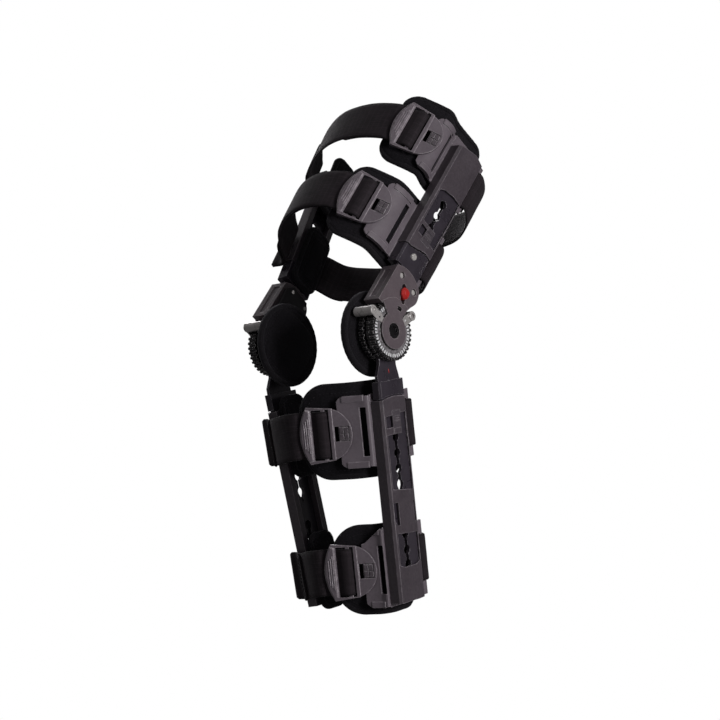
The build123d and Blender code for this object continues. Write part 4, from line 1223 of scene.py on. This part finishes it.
def dial_numbers(side):
    """Numerals 0 to 120 on the scale, 22.5 degrees of turn apart, tops outward."""
    sign = SIDES[side]
    radius = 22.6 * MM
    face_x = sign * 90.325 * MM
    for value in range(0, 121, 15):
        mesh = text_mesh(f"{side}_num_{value}", str(value), size=3.0 * MM, depth=0.015 * MM)
        angle = math.radians(200 + value * 1.5)
        radial = Vector((0, math.sin(angle), math.cos(angle)))
        tangent = -Vector((sign, 0, 0)).cross(radial)
        mesh.transform(Matrix((
            (tangent.x, radial.x, sign, face_x),
            (tangent.y, radial.y, 0, radial.y * radius),
            (tangent.z, radial.z, 0, radial.z * radius),
            (0, 0, 0, 1))))
        mesh.name = f"{side}_scale_number_{value}"
        obj = bpy.data.objects.new(mesh.name, mesh)
        scene.collection.objects.link(obj)
        mesh.materials.clear()
        mesh.materials.append(MAT["bolt_steel"])
        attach(obj, "calf_frame")


def index_mark(side):
    """Small raised oval on the arm below the dial."""
    count = 24
    half_width, half_height = 0.75, 2.2
    x, y, z = 80.1, -4.0, -41.0
    verts = []
    for lift, scale in ((-0.05, 1.0), (0.18, 1.0), (0.3, 0.8)):
        for i in range(count):
            angle = 2 * math.pi * i / count
            verts.append(Vector((SIDES[side] * (x + lift),
                                 y + half_width * math.cos(angle) * scale,
                                 z + half_height * math.sin(angle) * scale)))
    faces = tube_faces(3, count)
    faces.append(tuple(range(2 * count, 3 * count)))
    faces.append(tuple(range(count))[::-1])
    new_object(f"{side}_index_mark", verts, faces, "lock_red", "calf_frame",
               smooth=False)


for side in SIDES:
    dial_numbers(side)
for side in SIDES:
    index_mark(side)


# ------------------------------------------------------------------ stage and world
WHITE = (1, 1, 1, 1)
STAGE_GLOW = 1.0        # brightness of the floor and world as the camera sees them
FLOOR_HALF, FLOOR_Z = 6, -0.335


def camera_ray_split(tree, output_kind, unseen, seen):
    """Shows the camera `seen` and every other ray `unseen`: (node kind, input values)."""
    tree.nodes.clear()
    mix = tree.nodes.new("ShaderNodeMixShader")
    rays = tree.nodes.new("ShaderNodeLightPath")
    tree.links.new(rays.outputs["Is Camera Ray"], mix.inputs[0])
    for index, (kind, *values) in enumerate((unseen, seen), 1):
        node = tree.nodes.new(kind)
        for socket, value in zip(node.inputs, values):
            socket.default_value = value
        tree.links.new(node.outputs[0], mix.inputs[index])
    output = tree.nodes.new(output_kind)
    tree.links.new(mix.outputs[0], output.inputs[0])


def add_floor():
    mesh = bpy.data.meshes.new("floor")
    corners = ((-1, -1), (1, -1), (1, 1), (-1, 1))
    mesh.from_pydata([(x * FLOOR_HALF, y * FLOOR_HALF, FLOOR_Z) for x, y in corners], [],
                     [(0, 1, 2, 3)])
    floor = bpy.data.objects.new("floor", mesh)
    scene.collection.objects.link(floor)
    material = bpy.data.materials.new("pale_stage")
    material.use_nodes = True
    camera_ray_split(material.node_tree, "ShaderNodeOutputMaterial",
                     unseen=("ShaderNodeBsdfDiffuse", (0.22, 0.22, 0.22, 1)),
                     seen=("ShaderNodeEmission", WHITE, STAGE_GLOW))
    mesh.materials.append(material)
    floor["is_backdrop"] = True


def add_world():
    world = bpy.data.worlds.new("studio")
    scene.world = world
    world.use_nodes = True
    camera_ray_split(world.node_tree, "ShaderNodeOutputWorld",
                     unseen=("ShaderNodeBackground", (1.0, 0.985, 0.99, 1), 0.13),
                     seen=("ShaderNodeBackground", WHITE, STAGE_GLOW))


scene.view_settings.view_transform = "Standard"
add_floor()
add_world()


# ------------------------------------------------------------------ camera and lights
def add_camera(azimuth, elevation, roll, distance):
    """Camera aimed at the knee axis; angles in degrees, distance in metres."""
    azimuth, elevation, roll = (math.radians(a) for a in (azimuth, elevation, roll))
    view = Vector((-math.sin(azimuth) * math.cos(elevation),
                   math.cos(azimuth) * math.cos(elevation), -math.sin(elevation)))
    level_right = Vector((math.cos(azimuth), math.sin(azimuth), 0))
    level_up = level_right.cross(view)
    right = level_right * math.cos(roll) - level_up * math.sin(roll)
    up = level_right * math.sin(roll) + level_up * math.cos(roll)
    data = bpy.data.cameras.new("camera")
    data.lens = 115.75
    data.sensor_width = 36.0
    data.shift_x, data.shift_y = 0.0438, -0.0283
    data.clip_start, data.clip_end = 0.05, 60
    camera = bpy.data.objects.new("camera", data)
    scene.collection.objects.link(camera)
    pose = Matrix.Identity(4)
    for column, vector in enumerate((right, up, -view, view * -distance)):
        for i in range(3):
            pose[i][column] = vector[i]
    camera.matrix_world = pose
    scene.camera = camera


def area_light(name, position, size, power, color=(1, 1, 1)):
    """Area light in metres and watts, aimed at the origin."""
    data = bpy.data.lights.new(name, "AREA")
    data.shape = "RECTANGLE"
    data.size, data.size_y = size
    data.energy = power
    data.color = color
    light = bpy.data.objects.new(name, data)
    scene.collection.objects.link(light)
    light.location = position
    aim = Vector((0, 0, 0)) - Vector(position)
    light.rotation_euler = aim.to_track_quat("-Z", "Y").to_euler()
    return light


def shade_medial_parts(light):
    """Leaves the medial hard parts out of a light, as if they stood in the leg's shade."""
    shaded = bpy.data.collections.new("shaded_by_leg")
    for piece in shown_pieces():
        name = piece.name
        if name.startswith("med_") and "cushion" not in name and name not in shaded.objects:
            shaded.objects.link(piece)
    light.light_linking.receiver_collection = shaded
    for item in shaded.collection_objects:
        item.light_linking.link_state = "EXCLUDE"


add_camera(azimuth=41.23, elevation=1.4, roll=8.87, distance=2.5)
key_light = area_light("key_side", position=(2.6, -0.22, 0.12), size=(0.6, 1.3), power=54,
                       color=(1.0, 0.985, 0.985))
area_light("fill_front", position=(0.9, -2.4, 0.5), size=(1.4, 1.5), power=2,
           color=(0.98, 0.98, 1.0))
area_light("rim_back", position=(-1.5, 1.4, 1.2), size=(0.9, 1.4), power=20,
           color=(1.0, 0.98, 1.0))
area_light("top", position=(0.9, 0.3, 2.2), size=(0.9, 0.9), power=3)
area_light("inner_side", position=(-2.4, 0.15, 0.9), size=(1.0, 1.4), power=15,
           color=(0.99, 0.99, 1.0))
shade_medial_parts(key_light)
